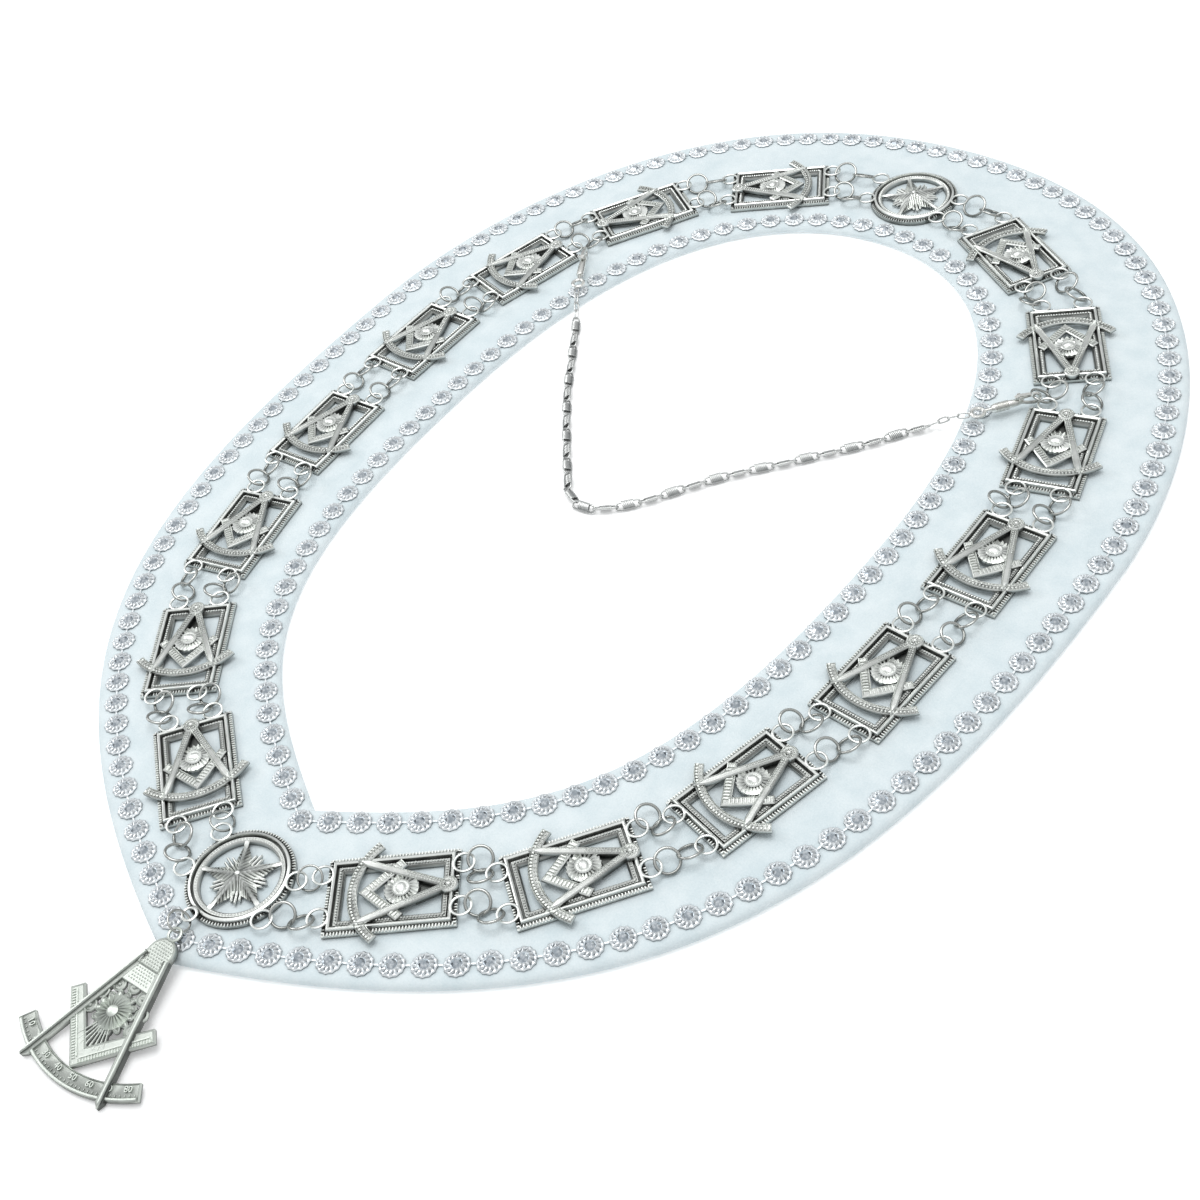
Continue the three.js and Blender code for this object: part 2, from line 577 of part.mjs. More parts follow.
const collar = new THREE.Group();
collar.add(named("backing", backing(), velvet));
collar.add(named("outer_trim", trim(bandOutline, OUTER_TRIM), trimMetal));
collar.add(named("inner_trim", trim(neckOutline, INNER_TRIM), trimMetal));
links().forEach((mesh) => collar.add(mesh));
const frontExtra = [hangerLoop(), ...starRings(FRONT_STAR, LINK_PLACES[0], -1)];
collar.add(starLink("front_star_link", FRONT_STAR, frontExtra));
collar.add(starLink("back_star_link", BACK_STAR, starRings(BACK_STAR, LINK_PLACES.at(-1), 1)));
[...rings(), ...singleRings()].forEach((mesh) => collar.add(mesh));
collar.add(jewel());
collar.add(jewelRing());
collar.add(named("neck_chain", geometryOf(neckChain()), wire));
for (const [sideName, place] of Object.entries(CLASP_PLACES)) collar.add(clasp(sideName, place));

export default collar;
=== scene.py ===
from math import acos, asin, atan2, cos, hypot, pi, radians, sin, sqrt

import bmesh
import bpy
from mathutils import Matrix, Vector, kdtree, noise


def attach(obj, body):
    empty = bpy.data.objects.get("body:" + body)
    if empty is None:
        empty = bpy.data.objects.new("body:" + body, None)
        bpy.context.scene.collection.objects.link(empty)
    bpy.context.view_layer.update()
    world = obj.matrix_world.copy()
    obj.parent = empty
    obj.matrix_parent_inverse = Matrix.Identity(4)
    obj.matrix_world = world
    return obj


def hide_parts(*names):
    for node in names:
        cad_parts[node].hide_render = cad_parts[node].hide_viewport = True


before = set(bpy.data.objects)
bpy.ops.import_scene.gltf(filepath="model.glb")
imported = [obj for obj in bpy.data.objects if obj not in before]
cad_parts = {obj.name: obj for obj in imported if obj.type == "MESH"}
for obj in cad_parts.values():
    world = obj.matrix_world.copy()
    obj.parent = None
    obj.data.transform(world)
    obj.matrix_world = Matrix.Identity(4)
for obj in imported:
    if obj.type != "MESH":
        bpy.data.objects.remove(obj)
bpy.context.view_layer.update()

MM = 0.001

# Camera. It looks down on the laid-out collar from the front right, a little rolled, so that the
# jewel lies at the lower left of the picture and the back of the neck at the upper right.
CAMERA_PLACE = (0.3753, -0.3403, 0.4799)
CAMERA_HEADING = 138.44
CAMERA_DOWN = 45.77
CAMERA_ROLL = -13.9
CAMERA_LENS = 51.27
bpy.ops.object.select_all(action="DESELECT")
bpy.ops.object.camera_add()
camera = bpy.context.object
camera.matrix_world = (
    Matrix.Translation(CAMERA_PLACE)
    @ Matrix.Rotation(radians(CAMERA_HEADING - 90), 4, "Z")
    @ Matrix.Rotation(radians(90 - CAMERA_DOWN), 4, "X")
    @ Matrix.Rotation(radians(CAMERA_ROLL), 4, "Z")
)
camera.data.lens = CAMERA_LENS
camera.data.sensor_width = 36
camera.data.clip_start = 0.01
bpy.context.scene.camera = camera


# Velvet band. It is a padded band cut like a pear with a point at the front: short-pile velvet over
# wadding and a stiffener, turned over at both edges and sewn down along the two rows of trim.
class Value:
    """A number that a material works out; arithmetic on it adds Math nodes."""

    def __init__(self, finish, socket):
        self.finish = finish
        self.socket = socket

    def maths(self, operation, first, second):
        return self.finish.node("ShaderNodeMath", {"operation": operation}, {0: first, 1: second})

    def __add__(self, other):
        return self.maths("ADD", self, other)

    def __mul__(self, other):
        return self.maths("MULTIPLY", self, other)

    __radd__ = __add__
    __rmul__ = __mul__


class Finish:
    """A material with one Principled shader, and the nodes that vary it over the surface."""

    def __init__(self, name, **constants):
        self.material = bpy.data.materials.new(name)
        self.material.use_nodes = True
        self.tree = self.material.node_tree
        self.shader = self.tree.nodes["Principled BSDF"]
        for socket, value in constants.items():
            self.shader.inputs[socket.replace("_", " ")].default_value = value
        self.place = self.node("ShaderNodeTexCoord", {}, {}, "Object")

    def node(self, kind, settings, sockets, output=0):
        made = self.tree.nodes.new(kind)
        for key, setting in settings.items():
            setattr(made, key, setting)
        for key, value in sockets.items():
            if isinstance(value, Value):
                self.tree.links.new(value.socket, made.inputs[key])
            else:
                made.inputs[key].default_value = value
        return Value(self, made.outputs[output])

    def grain(self, size, detail=2.0, roughness=0.5):
        return self.node("ShaderNodeTexNoise", {},
                         {"Vector": self.place, "Scale": 1 / size, "Detail": detail, "Roughness": roughness})

    def spread(self, value, low, high):
        return self.node("ShaderNodeMapRange", {}, {"Value": value, "From Min": low, "From Max": high})

    def mix(self, factor, first, second):
        return self.node("ShaderNodeMix", {"data_type": "RGBA"}, {0: factor, 6: first, 7: second}, 2)

    def height(self):
        return self.node("ShaderNodeSeparateXYZ", {}, {"Vector": self.place}, "Z")

    def feed(self, **sockets):
        for key, value in sockets.items():
            self.tree.links.new(value.socket, self.shader.inputs[key.replace("_", " ")])

    def bump(self, value, strength, depth):
        normal = self.node("ShaderNodeBump", {}, {"Height": value, "Strength": strength, "Distance": depth})
        self.feed(Normal=normal)


BAND_EDGE = {
    "tip": -240, "tip_handle": 172, "tip_turn": 20.5, "side_handle": 171,
    "wide": 191.5, "wide_y": 75, "back_side_handle": 80, "back_handle": 143, "back": 293.5,
}
NECK_EDGE = {
    "tip": -166, "tip_handle": 87, "tip_turn": 28.5, "side_handle": 137,
    "wide": 106.5, "wide_y": 44, "back_side_handle": 126, "back_handle": 52, "back": 213.5,
}
EDGE_STEPS = 110
PAD_TOP = 3.75
EDGE_ROLL = 3.2
EDGE_HEIGHT = 1.5
SEAM_INSET = {"outer": 8.0, "neck": 6.0}
SEAM_DIP = 0.3
SEAM_WIDE = 3.0
SECTION_NEAR = [0.0, 0.3, 0.9, 1.8, 3.2, 5.0, 6.5, 8.0, 9.5, 11.5]  # section's points from each edge
SECTION_STEPS = 22  # and its spans between them
LIP = {"in": 0.3, "high": 0.6}
UNDERSIDE_INSET = 1.2
WAVE = {"long": 26.0, "high": 0.28, "slice": 3.0}
NAP = {"long": 7.0, "high": 0.1, "slice": 9.0}
WAVES_FROM = 6.0


def bezier(a, b, c, d, t):
    s = 1 - t
    return a * s ** 3 + b * (3 * s * s * t) + c * (3 * s * t * t) + d * t ** 3


def outline(edge):
    """Points of one closed edge in millimetres, from the front point round by the right."""
    turn = radians(edge["tip_turn"])
    wide = Vector((edge["wide"], edge["wide_y"]))
    tip = Vector((0, edge["tip"]))
    back = Vector((0, edge["back"]))
    leave = tip + edge["tip_handle"] * Vector((cos(turn), sin(turn)))
    below = wide - Vector((0, edge["side_handle"]))
    above = wide + Vector((0, edge["back_side_handle"]))
    arrive = Vector((edge["back_handle"], edge["back"]))
    steps = [i / EDGE_STEPS for i in range(EDGE_STEPS)]
    right = [bezier(tip, leave, below, wide, t) for t in steps]
    right += [bezier(wide, above, arrive, back, t) for t in steps] + [back]
    return right + [Vector((-p.x, p.y)) for p in reversed(right[1:-1])]


def pad_height(from_outer, from_neck):
    """How high the velvet stands, at these distances from the band's two edges."""
    high = PAD_TOP
    for reach in (from_outer, from_neck):
        if reach < EDGE_ROLL:
            rise = sqrt(max(0.0, 1 - (1 - reach / EDGE_ROLL) ** 2))
            high = min(high, EDGE_HEIGHT + (PAD_TOP - EDGE_HEIGHT) * rise)
    for reach, seam in ((from_outer, SEAM_INSET["outer"]), (from_neck, SEAM_INSET["neck"])):
        high -= SEAM_DIP * max(0.0, 1 - abs(reach - seam) / SEAM_WIDE)
    return high


def ripple(flat, waves):
    """Smooth noise between -1 and 1 at a place on the band, from its own slice of the noise."""
    return noise.noise(Vector((flat.x, flat.y, waves["slice"])) / waves["long"])


def band_section(outer, neck):
    """One section across the band, as a closed loop: over the top, then back along the underside."""
    wide = (neck - outer).length
    edge = SECTION_NEAR[-1]
    middle = [edge + (wide - 2 * edge) * i / SECTION_STEPS for i in range(1, SECTION_STEPS)]
    reaches = SECTION_NEAR + middle + [wide - reach for reach in reversed(SECTION_NEAR)]
    loop = []
    for reach in reaches:
        flat = outer.lerp(neck, reach / wide)
        high = pad_height(reach, wide - reach)
        inside = min(1.0, min(reach, wide - reach) / WAVES_FROM)
        high -= inside * WAVE["high"] * abs(ripple(flat, WAVE))
        high += inside * NAP["high"] * ripple(flat, NAP)
        loop.append((flat.x * MM, flat.y * MM, high * MM))
    for inset, high in ((wide - LIP["in"], LIP["high"]), (wide - UNDERSIDE_INSET, 0.0), (wide / 2, 0.0),
                        (UNDERSIDE_INSET, 0.0), (LIP["in"], LIP["high"])):
        flat = outer.lerp(neck, inset / wide)
        loop.append((flat.x * MM, flat.y * MM, high * MM))
    return loop


def closed_surface(name, loops):
    """A tube of quads through equal loops of points that closes on itself, as one object."""
    mesh = bpy.data.meshes.new(name)
    count, size = len(loops), len(loops[0])
    faces = [
        (i * size + j, i * size + (j + 1) % size,
         (i + 1) % count * size + (j + 1) % size, (i + 1) % count * size + j)
        for i in range(count) for j in range(size)
    ]
    mesh.from_pydata([point for loop in loops for point in loop], [], faces)
    piece = bpy.data.objects.new(name, mesh)
    bpy.context.collection.objects.link(piece)
    return piece


def choose(*pieces):
    bpy.ops.object.select_all(action="DESELECT")
    for piece in pieces:
        piece.select_set(True)
    bpy.context.view_layer.objects.active = pieces[0]


def outward(piece):
    """The faces of a closed piece turned outwards."""
    choose(piece)
    bpy.ops.object.mode_set(mode="EDIT")
    bpy.ops.mesh.select_all(action="SELECT")
    bpy.ops.mesh.remove_doubles(threshold=1e-6)
    bpy.ops.mesh.normals_make_consistent(inside=False)
    bpy.ops.object.mode_set(mode="OBJECT")
    return piece


band_outline = outline(BAND_EDGE)
neck_outline = outline(NECK_EDGE)
velvet_band = closed_surface(
    "velvet_band", [band_section(outer, neck) for outer, neck in zip(band_outline, neck_outline)])
outward(velvet_band)
bpy.ops.object.shade_smooth()

VELVET_LIGHT = (0.80, 0.875, 0.90, 1)
VELVET_SHADE = (0.69, 0.785, 0.82, 1)
PILE_SIZE = 0.0007
BRUSHED_SIZE = 0.011
velvet = Finish("white_velvet", Roughness=0.92, Sheen_Weight=0.35, Sheen_Roughness=0.45)
pile = velvet.grain(PILE_SIZE, detail=3.0, roughness=0.6)
brushed = velvet.grain(BRUSHED_SIZE, detail=3.0, roughness=0.55)
lying = velvet.spread(brushed * 0.62 + pile * 0.38, low=0.36, high=0.62)
velvet.feed(Base_Color=velvet.mix(lying, VELVET_SHADE, VELVET_LIGHT))
velvet.bump(pile + brushed * 0.8, strength=0.35, depth=0.0006)
velvet_band.data.materials.append(velvet.material)
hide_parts("backing")
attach(velvet_band, "collar")


# Stone trim. Two rows of stamped rosettes, bright metal with twelve slots each and a clear faceted
# stone in a cup, linked by a narrow strip and sewn to the velvet along both of its edges.
ROSETTE = {"sides": 24, "radius": 4.85, "scallop": 0.35, "rim": 0.5, "edge": 0.4, "edge_rise": 0.3,
           "slot_outer": 3.75, "slot_inner": 2.75, "slot_rise": 0.1, "slot_deep": 0.7, "petal_rise": 0.15,
           "cup": [(0.3, 0.35), (0.2, -0.25)]}
SLOT_MARGIN = 0.2
STONE = {"sides": 8, "radius": 2.1, "table": 1.1, "seat": 0.6, "low": 1.1, "high": 1.85, "slope": 0.92}
TRIM_BOTTOM = 3.85
TRIM_ROWS = {
    "outer": {"inset": 8.0, "count": 126, "node": "outer_trim"},
    "inner": {"inset": -6.0, "count": 88, "node": "inner_trim"},
}
TRIM_STRIP = {"wide": 0.6, "low": 0.1, "high": 0.3}


def in_edit(action):
    bpy.ops.object.mode_set(mode="EDIT")
    bpy.ops.mesh.select_mode(type="FACE")
    action()
    bpy.ops.object.mode_set(mode="OBJECT")


def pick_top(piece):
    """Selects the highest flat face of a piece in edit mode."""
    mesh = bmesh.from_edit_mesh(piece.data)
    mesh.faces.ensure_lookup_table()
    top = max(mesh.faces, key=lambda face: face.calc_center_median().z + 1e-6 * abs(face.normal.z))
    for face in mesh.faces:
        face.select_set(face == top)
    bmesh.update_edit_mesh(piece.data)


def plate(points, bottom, top, rims=()):
    """A flat piece with this outline in millimetres; each rim is an inset and how far it then rises."""
    bpy.ops.object.select_all(action="DESELECT")
    bpy.ops.mesh.primitive_circle_add(vertices=len(points), radius=MM, fill_type="NGON")
    piece = bpy.context.object
    for vertex, (x, y) in zip(piece.data.vertices, points):
        vertex.co = (x * MM, y * MM, bottom * MM)

    def shape_it():
        bpy.ops.mesh.select_all(action="SELECT")
        bpy.ops.mesh.extrude_region_move(TRANSFORM_OT_translate={"value": (0, 0, (top - bottom) * MM)})
        bpy.ops.mesh.select_all(action="SELECT")
        bpy.ops.mesh.normals_make_consistent(inside=False)
        pick_top(piece)
        for inset, rise in rims:
            bpy.ops.mesh.inset(thickness=inset * MM, depth=rise * MM)

    in_edit(shape_it)
    return piece


def rectangle(long, wide):
    return [(long / 2, -wide / 2), (long / 2, wide / 2), (-long / 2, wide / 2), (-long / 2, -wide / 2)]


def ring_of(radius, count):
    return [(radius * cos(2 * pi * i / count), radius * sin(2 * pi * i / count)) for i in range(count)]


def join(name, *pieces):
    choose(*pieces)
    bpy.ops.object.join()
    whole = bpy.context.object
    whole.name = whole.data.name = name
    return whole


def repeated(master, places):
    """Copies of a piece at these places, joined as one; the first model of it is removed."""
    copies = []
    for place in places:
        copy = master.copy()
        copy.data = master.data.copy()
        copy.data.transform(place)
        bpy.context.collection.objects.link(copy)
        copies.append(copy)
    name = master.name
    bpy.data.objects.remove(master)
    return join(name, *copies)


def moved(x=0, y=0, z=0, turn=0):
    """A place in millimetres, turned about the upright axis by degrees."""
    return Matrix.Translation((x * MM, y * MM, z * MM)) @ Matrix.Rotation(radians(turn), 4, "Z")


def heading(way):
    """The way that a line runs over the table, in degrees from +X."""
    return atan2(way.y, way.x) * 180 / pi


def rosette():
    """One stamped rosette: a scalloped rim, slots between its petals, and the cup of the stone."""
    sides = ROSETTE["sides"]
    rim = [(radius * cos(2 * pi * i / sides), radius * sin(2 * pi * i / sides))
           for i in range(sides)
           for radius in [ROSETTE["radius"] - ROSETTE["scallop"] * (i % 2)]]
    steps = [(ROSETTE["edge"], ROSETTE["edge_rise"]),
             (ROSETTE["radius"] - ROSETTE["edge"] - ROSETTE["slot_outer"], 0.0),
             (ROSETTE["slot_outer"] - ROSETTE["slot_inner"], ROSETTE["slot_rise"]), *ROSETTE["cup"]]
    piece = plate(rim, 0, ROSETTE["rim"], steps)
    for vertex in piece.data.vertices:
        reach = hypot(vertex.co.x, vertex.co.y) / MM
        corner = round(atan2(vertex.co.y, vertex.co.x) / (2 * pi / sides)) % 2
        if ROSETTE["slot_inner"] - SLOT_MARGIN < reach < ROSETTE["slot_outer"] + SLOT_MARGIN:
            vertex.co.z += (-ROSETTE["slot_deep"] if corner else ROSETTE["petal_rise"]) * MM
    return piece


def stone():
    points = ring_of(STONE["radius"], STONE["sides"])
    cut = STONE["radius"] - STONE["table"]
    return plate(points, STONE["seat"], STONE["low"],
                 [(cut * STONE["slope"], STONE["high"] - STONE["low"])])


def offset(points, inset):
    """A closed outline moved inwards by inset, or outwards by a negative one."""
    moved_points = []
    for i, point in enumerate(points):
        before = (point - points[i - 1]).normalized()
        after = (points[(i + 1) % len(points)] - point).normalized()
        inward = Vector((-before.y - after.y, before.x + after.x)).normalized()
        moved_points.append(point + inward * inset / (inward.y * after.x - inward.x * after.y))
    return moved_points


def spaced(points, count):
    """Places at equal steps along a closed line, each with the way that the line runs there."""
    closed = points + [points[0]]
    lengths = [(b - a).length for a, b in zip(closed, closed[1:])]
    whole = sum(lengths)
    places = []
    for k in range(count):
        rest, i = whole * k / count, 0
        while rest > lengths[i]:
            rest -= lengths[i]
            i += 1
        way = (closed[i + 1] - closed[i]).normalized()
        places.append((closed[i] + way * rest, way))
    return places


def mark_painted_shade(piece, reach=1.0, depth=1.0):
    """Marks each point for painted shade by how far it lies below the highest metal within reach: 1 level
    and unshaded, 0 at depth and fully shaded.
    """
    points = piece.data.vertices
    near = kdtree.KDTree(len(points))
    for point in points:
        near.insert((point.co.x, point.co.y, 0), point.index)
    near.balance()
    painted_shade = piece.data.attributes.new("painted_shade", "FLOAT", "POINT")
    for point in points:
        around = near.find_range((point.co.x, point.co.y, 0), reach * MM)
        top = max(points[index].co.z for _, index, _ in around)
        painted_shade.data[point.index].value = max(0.0, 1 - (top - point.co.z) / (depth * MM))


TARNISH_SIZE = 0.006
PAINTED_GLINT_SCALE = 900.0
STONE_PAINTED_GLINT = (0.86, 0.9, 0.94, 1)
STONE_PAINTED_DARK_REFLECTION = (0.42, 0.47, 0.52, 1)


def bright_metal(name, dark, bright, shade_heights=None, rough=0.24, grain=0.0009, cast=0.12):
    """Plated metal with a fine cast grain, and painted shade in its colour: dark in the hollows of the
    casting, or darker lower down, between two given levels.
    """
    finish = Finish(name, Metallic=1.0)
    tarnish = finish.grain(TARNISH_SIZE, detail=3.0)
    # Painted shade: the mix below turns the colour dark in hollows, or lower down on the piece.
    if shade_heights:
        lit = finish.spread(finish.height(), shade_heights[0] * MM, shade_heights[1] * MM)
    else:
        lit = finish.node("ShaderNodeAttribute", {"attribute_name": "painted_shade"}, {}, "Fac")
    finish.feed(
        Base_Color=finish.mix(finish.spread(lit * 0.85 + tarnish * 0.3, 0.15, 0.8), dark, bright),
        Roughness=finish.spread(tarnish, 0.2, 0.8) * 0.14 + rough,
    )
    finish.bump(finish.grain(grain), strength=cast, depth=0.0002)
    return finish.material


def cut_stone(name):
    """Foil-backed clear stone: it mirrors the room, and its colour holds painted reflections, small patches
    of painted glint and of painted dark reflection.
    """
    finish = Finish(name, Metallic=0.9, Coat_Weight=0.6, Coat_Roughness=0.03)
    # Painted reflections: small cells of bright glint and dark reflection in the stone's colour.
    painted_glints = finish.node(
        "ShaderNodeTexVoronoi", {}, {"Vector": finish.place, "Scale": PAINTED_GLINT_SCALE}, "Distance")
    finish.feed(
        Base_Color=finish.mix(finish.spread(painted_glints, 0.1, 0.7), STONE_PAINTED_GLINT, STONE_PAINTED_DARK_REFLECTION),
        Roughness=finish.spread(painted_glints, 0.0, 1.0) * 0.1 + 0.05,
    )
    return finish.material


# Painted shade: the rosettes' slots and low parts take the dark colour, and their raised rims the bright
# one.
trim_metal = bright_metal(
    "rosette_metal", dark=(0.06, 0.075, 0.09, 1), bright=(0.93, 0.96, 0.98, 1), rough=0.36, cast=0.05)
trim_stone = cut_stone("clear_stone")
for row_name, row in TRIM_ROWS.items():
    line = offset(band_outline if row_name == "outer" else neck_outline, row["inset"])
    places = spaced(line, row["count"])
    pitch = (places[1][0] - places[2][0]).length
    strip = plate(rectangle(pitch, TRIM_STRIP["wide"]), TRIM_STRIP["low"], TRIM_STRIP["high"])
    setting = rosette()
    mark_painted_shade(setting, reach=0.9, depth=0.85)
    mark_painted_shade(strip)
    for piece in (strip, setting):
        piece.data.materials.append(trim_metal)
    cut = stone()
    mark_painted_shade(cut)
    cut.data.materials.append(trim_stone)
    rosettes = repeated(join(f"{row_name}_rosettes", setting, cut), [
        moved(at.x, at.y, TRIM_BOTTOM, heading(way)) for at, way in places])
    bridges = []
    for (at, _), (beyond, _) in zip(places, places[1:] + places[:1]):
        middle, run = (at + beyond) / 2, beyond - at
        bridges.append(moved(middle.x, middle.y, TRIM_BOTTOM, heading(run)))
    trim_row = join(f"{row_name}_stone_row", rosettes, repeated(strip, bridges))
    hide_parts(row["node"])
    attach(trim_row, "collar")


# Cast links. Each is a plated zinc casting: a rectangular frame with a milled outer edge, a smooth
# bevel, a groove and a beaded inner edge, and over it an arc, compasses, a square and a sun disc.
LINK_BOTTOM = 4.0
LINK = {"long": 47.0, "wide": 31.0, "bar": 5.9}
FRAME_STEPS = [  # inset and rise of each step of the frame's section, from its outer edge
    {"inset": 1.4, "rise": 0.0}, {"inset": 0.5, "rise": 1.6}, {"inset": 0.4, "rise": 0.2},
    {"inset": 0.6, "rise": -0.4}, {"inset": 0.2, "rise": -1.9}, {"inset": 0.5, "rise": 0.0},
    {"inset": 0.25, "rise": 1.0}, {"inset": 1.45, "rise": 0.0}, {"inset": 0.6, "rise": -0.7},
]
FRAME_LOW = 1.35
MILL = {"pitch": 1.15, "long": 1.3, "wide": 0.62, "high": 0.75}
BEAD = {"pitch": 1.1, "radius": 0.5, "inset": 4.5, "z": 2.2}
LUG = {"x": 25.0, "y": 8.7, "radius": 3.7, "wire": 0.5, "z": 2.8}
ARC = {"x": 11.2, "radius": 24.9, "wide": 3.5, "turn": 50, "steps": 22, "low": 2.0, "high": 3.45,
       "border": [(0.3, 0.35), (0.3, -0.5)]}
ARC_DASH = {"long": 0.95, "wide": 0.75, "high": 0.7, "aside": 0.65, "sunk": 0.5, "turn": 48, "step": 3}
ARC_STUD = {"radius": 0.42, "aside": -0.6, "sunk": 0.3, "turn": 46, "step": 4}
LEG = {"hinge": 20.3, "tip_x": -13.0, "tip_y": 13.0, "wide": 2.8, "point": 5.0, "low": 2.2, "high": 3.5,
       "border": [(0.4, 0.5), (0.3, -0.45)]}
LEG_GRAIN = {"radius": 0.34, "first": 3.6, "last": 15.5, "count": 12, "aside": 0.45, "rise": 0.2}
LEG_WEB = {"back": 18.3, "neck": 1.6, "front": 8.7, "wide": 5.4, "low": 0.4, "high": 1.2}
SQUARE = {"corner": -11.5, "end_x": 2.5, "end_y": 12.4, "wide": 3.5, "low": 1.9, "high": 3.35,
          "border": [(0.4, 0.35), (0.3, -0.5)]}
SQUARE_STUD = {"first": 3.2, "last": 16.8, "count": 11, "aside": 0.45, "long": 0.65, "wide": 2.2,
               "high": 0.7, "sunk": 0.55}
SUN = {"x": 3.7, "radius": 6.3, "rays": 20, "low": 2.0, "rim": 3.5, "inner": 3.1, "top": 3.9}
SUN_CUP = {"margin": 0.2, "sides": 20, "sunk": 0.4, "border": [(0.3, 0.3), (0.3, -0.3)]}
FLUTE = {"deep": 0.75, "from": 0.8, "rim_from": 1.3, "drawn_in": 0.93}
BOSS = {"long": 2.3, "wide": 1.75, "high": 1.0}
HINGE = {"radius": 3.2, "sides": 20, "low": 2.0, "edge": 3.6, "border": [(0.4, 0.4), (0.3, -0.5)],
         "grain": 0.36, "grain_z": 3.7, "pin": (0.7, 0.7, 0.5), "pin_z": 3.9}
HINGE_GRAINS = [{"reach": 1.75, "count": 12}, {"reach": 0.85, "count": 6}]
UP = 0.9  # a face looks up or down when its normal does so by this much
LINK_PLACES = [  # middles of the right side's links from the front, and how each one is turned from +Y
    {"x": 51.5, "y": -177.5, "turn": 52},
    {"x": 100.5, "y": -137.5, "turn": 37},
    {"x": 130.5, "y": -79.0, "turn": 14},
    {"x": 144.5, "y": -14.0, "turn": 4},
    {"x": 148.0, "y": 55.5, "turn": 0},
    {"x": 140.0, "y": 120.0, "turn": -14.5},
    {"x": 113.5, "y": 181.0, "turn": -33, "reversed": True},
    {"x": 63.0, "y": 226.5, "turn": -58, "reversed": True},
]


def block(long, wide, high):
    """A small raised bar with its upper edges drawn in, for milling, dashes and ruler ticks."""
    edge = min(long, wide) * 0.22
    return plate(rectangle(long, wide), 0, high * 0.6, [(edge, high * 0.4)])


def open_through(piece, reach):
    """Cuts out what is left of the top and the underside within reach, and walls the opening."""
    def cut():
        pick_top_middle(piece)
        bpy.ops.mesh.delete(type="FACE")
        pick_bottom(piece)
        bpy.ops.mesh.inset(thickness=reach * MM, depth=0)
        bpy.ops.mesh.delete(type="FACE")
        bpy.ops.mesh.select_mode(type="EDGE")
        mesh = bmesh.from_edit_mesh(piece.data)
        for edge in mesh.edges:
            edge.select_set(edge.is_boundary)
        bmesh.update_edit_mesh(piece.data)
        bpy.ops.mesh.bridge_edge_loops()

    in_edit(cut)


def pick_top_middle(piece):
    """Selects the face over the middle of a piece that looks up, in edit mode."""
    mesh = bmesh.from_edit_mesh(piece.data)
    ups = [face for face in mesh.faces if face.normal.z > UP]
    middle = min(ups, key=lambda face: face.calc_center_median().xy.length - face.calc_area())
    for face in mesh.faces:
        face.select_set(face == middle)
    bmesh.update_edit_mesh(piece.data)


def pick_bottom(piece):
    mesh = bmesh.from_edit_mesh(piece.data)
    for face in mesh.faces:
        face.select_set(face.normal.z < -UP)
    bmesh.update_edit_mesh(piece.data)


def sides_of(long, wide, pitch, reach):
    """Places at about that pitch along a rectangle's four sides, which lie reach inside its edge."""
    places = []
    for side in range(4):
        run = (long if side % 2 else wide) - 2 * reach
        away = (wide if side % 2 else long) / 2 - reach
        count = round(run / pitch)
        for i in range(count):
            at = (i + 0.5) * run / count - run / 2
            places.append(Matrix.Rotation(side * pi / 2, 4, "Z") @ moved(away, at))
    return places


def bead(radius):
    bpy.ops.object.select_all(action="DESELECT")
    bpy.ops.mesh.primitive_ico_sphere_add(subdivisions=1, radius=radius * MM)
    return bpy.context.object


def hoop(radius, wire, around=28, section=8):
    bpy.ops.object.select_all(action="DESELECT")
    bpy.ops.mesh.primitive_torus_add(
        major_radius=radius * MM, minor_radius=wire * MM, major_segments=around, minor_segments=section)
    return bpy.context.object


def at_place(piece, place):
    piece.data.transform(place)
    return piece


def turns_of(count, place=Matrix()):
    """A place repeated at equal turns about the upright axis."""
    return [Matrix.Rotation(2 * pi * i / count, 4, "Z") @ place for i in range(count)]


def fan_of(middle, turns, place=Matrix()):
    """A place repeated at these turns in degrees to either side of a middle one."""
    return [Matrix.Rotation(radians(middle + turn), 4, "Z") @ place for turn in turns]


def link_frame():
    rims = [(step["inset"], step["rise"]) for step in FRAME_STEPS]
    frame_bar = plate(rectangle(LINK["long"], LINK["wide"]), 0, FRAME_LOW, rims)
    open_through(frame_bar, LINK["bar"])
    mill = repeated(block(MILL["long"], MILL["wide"], MILL["high"]),
                    [Matrix.Translation((0, 0, FRAME_LOW * MM)) @ place
                     for place in sides_of(LINK["long"], LINK["wide"], MILL["pitch"], MILL["long"] / 2)])
    beads = repeated(bead(BEAD["radius"]),
                     [Matrix.Translation((0, 0, BEAD["z"] * MM)) @ place
                      for place in sides_of(LINK["long"], LINK["wide"], BEAD["pitch"], BEAD["inset"])])
    lugs = repeated(hoop(LUG["radius"], LUG["wire"]),
                    [moved(x * LUG["x"], y * LUG["y"], LUG["z"]) for x in (1, -1) for y in (1, -1)])
    return [frame_bar, mill, beads, lugs]


def arc_points(radius, wide, turn, steps, middle_turn=pi):
    """The outline of a bent band about the origin, middle_turn being the way to its middle."""
    points = []
    for reach, way in ((radius + wide / 2, 1), (radius - wide / 2, -1)):
        for i in range(steps + 1):
            a = middle_turn + radians(turn) * way * (2 * i / steps - 1)
            points.append((reach * cos(a), reach * sin(a)))
    return points


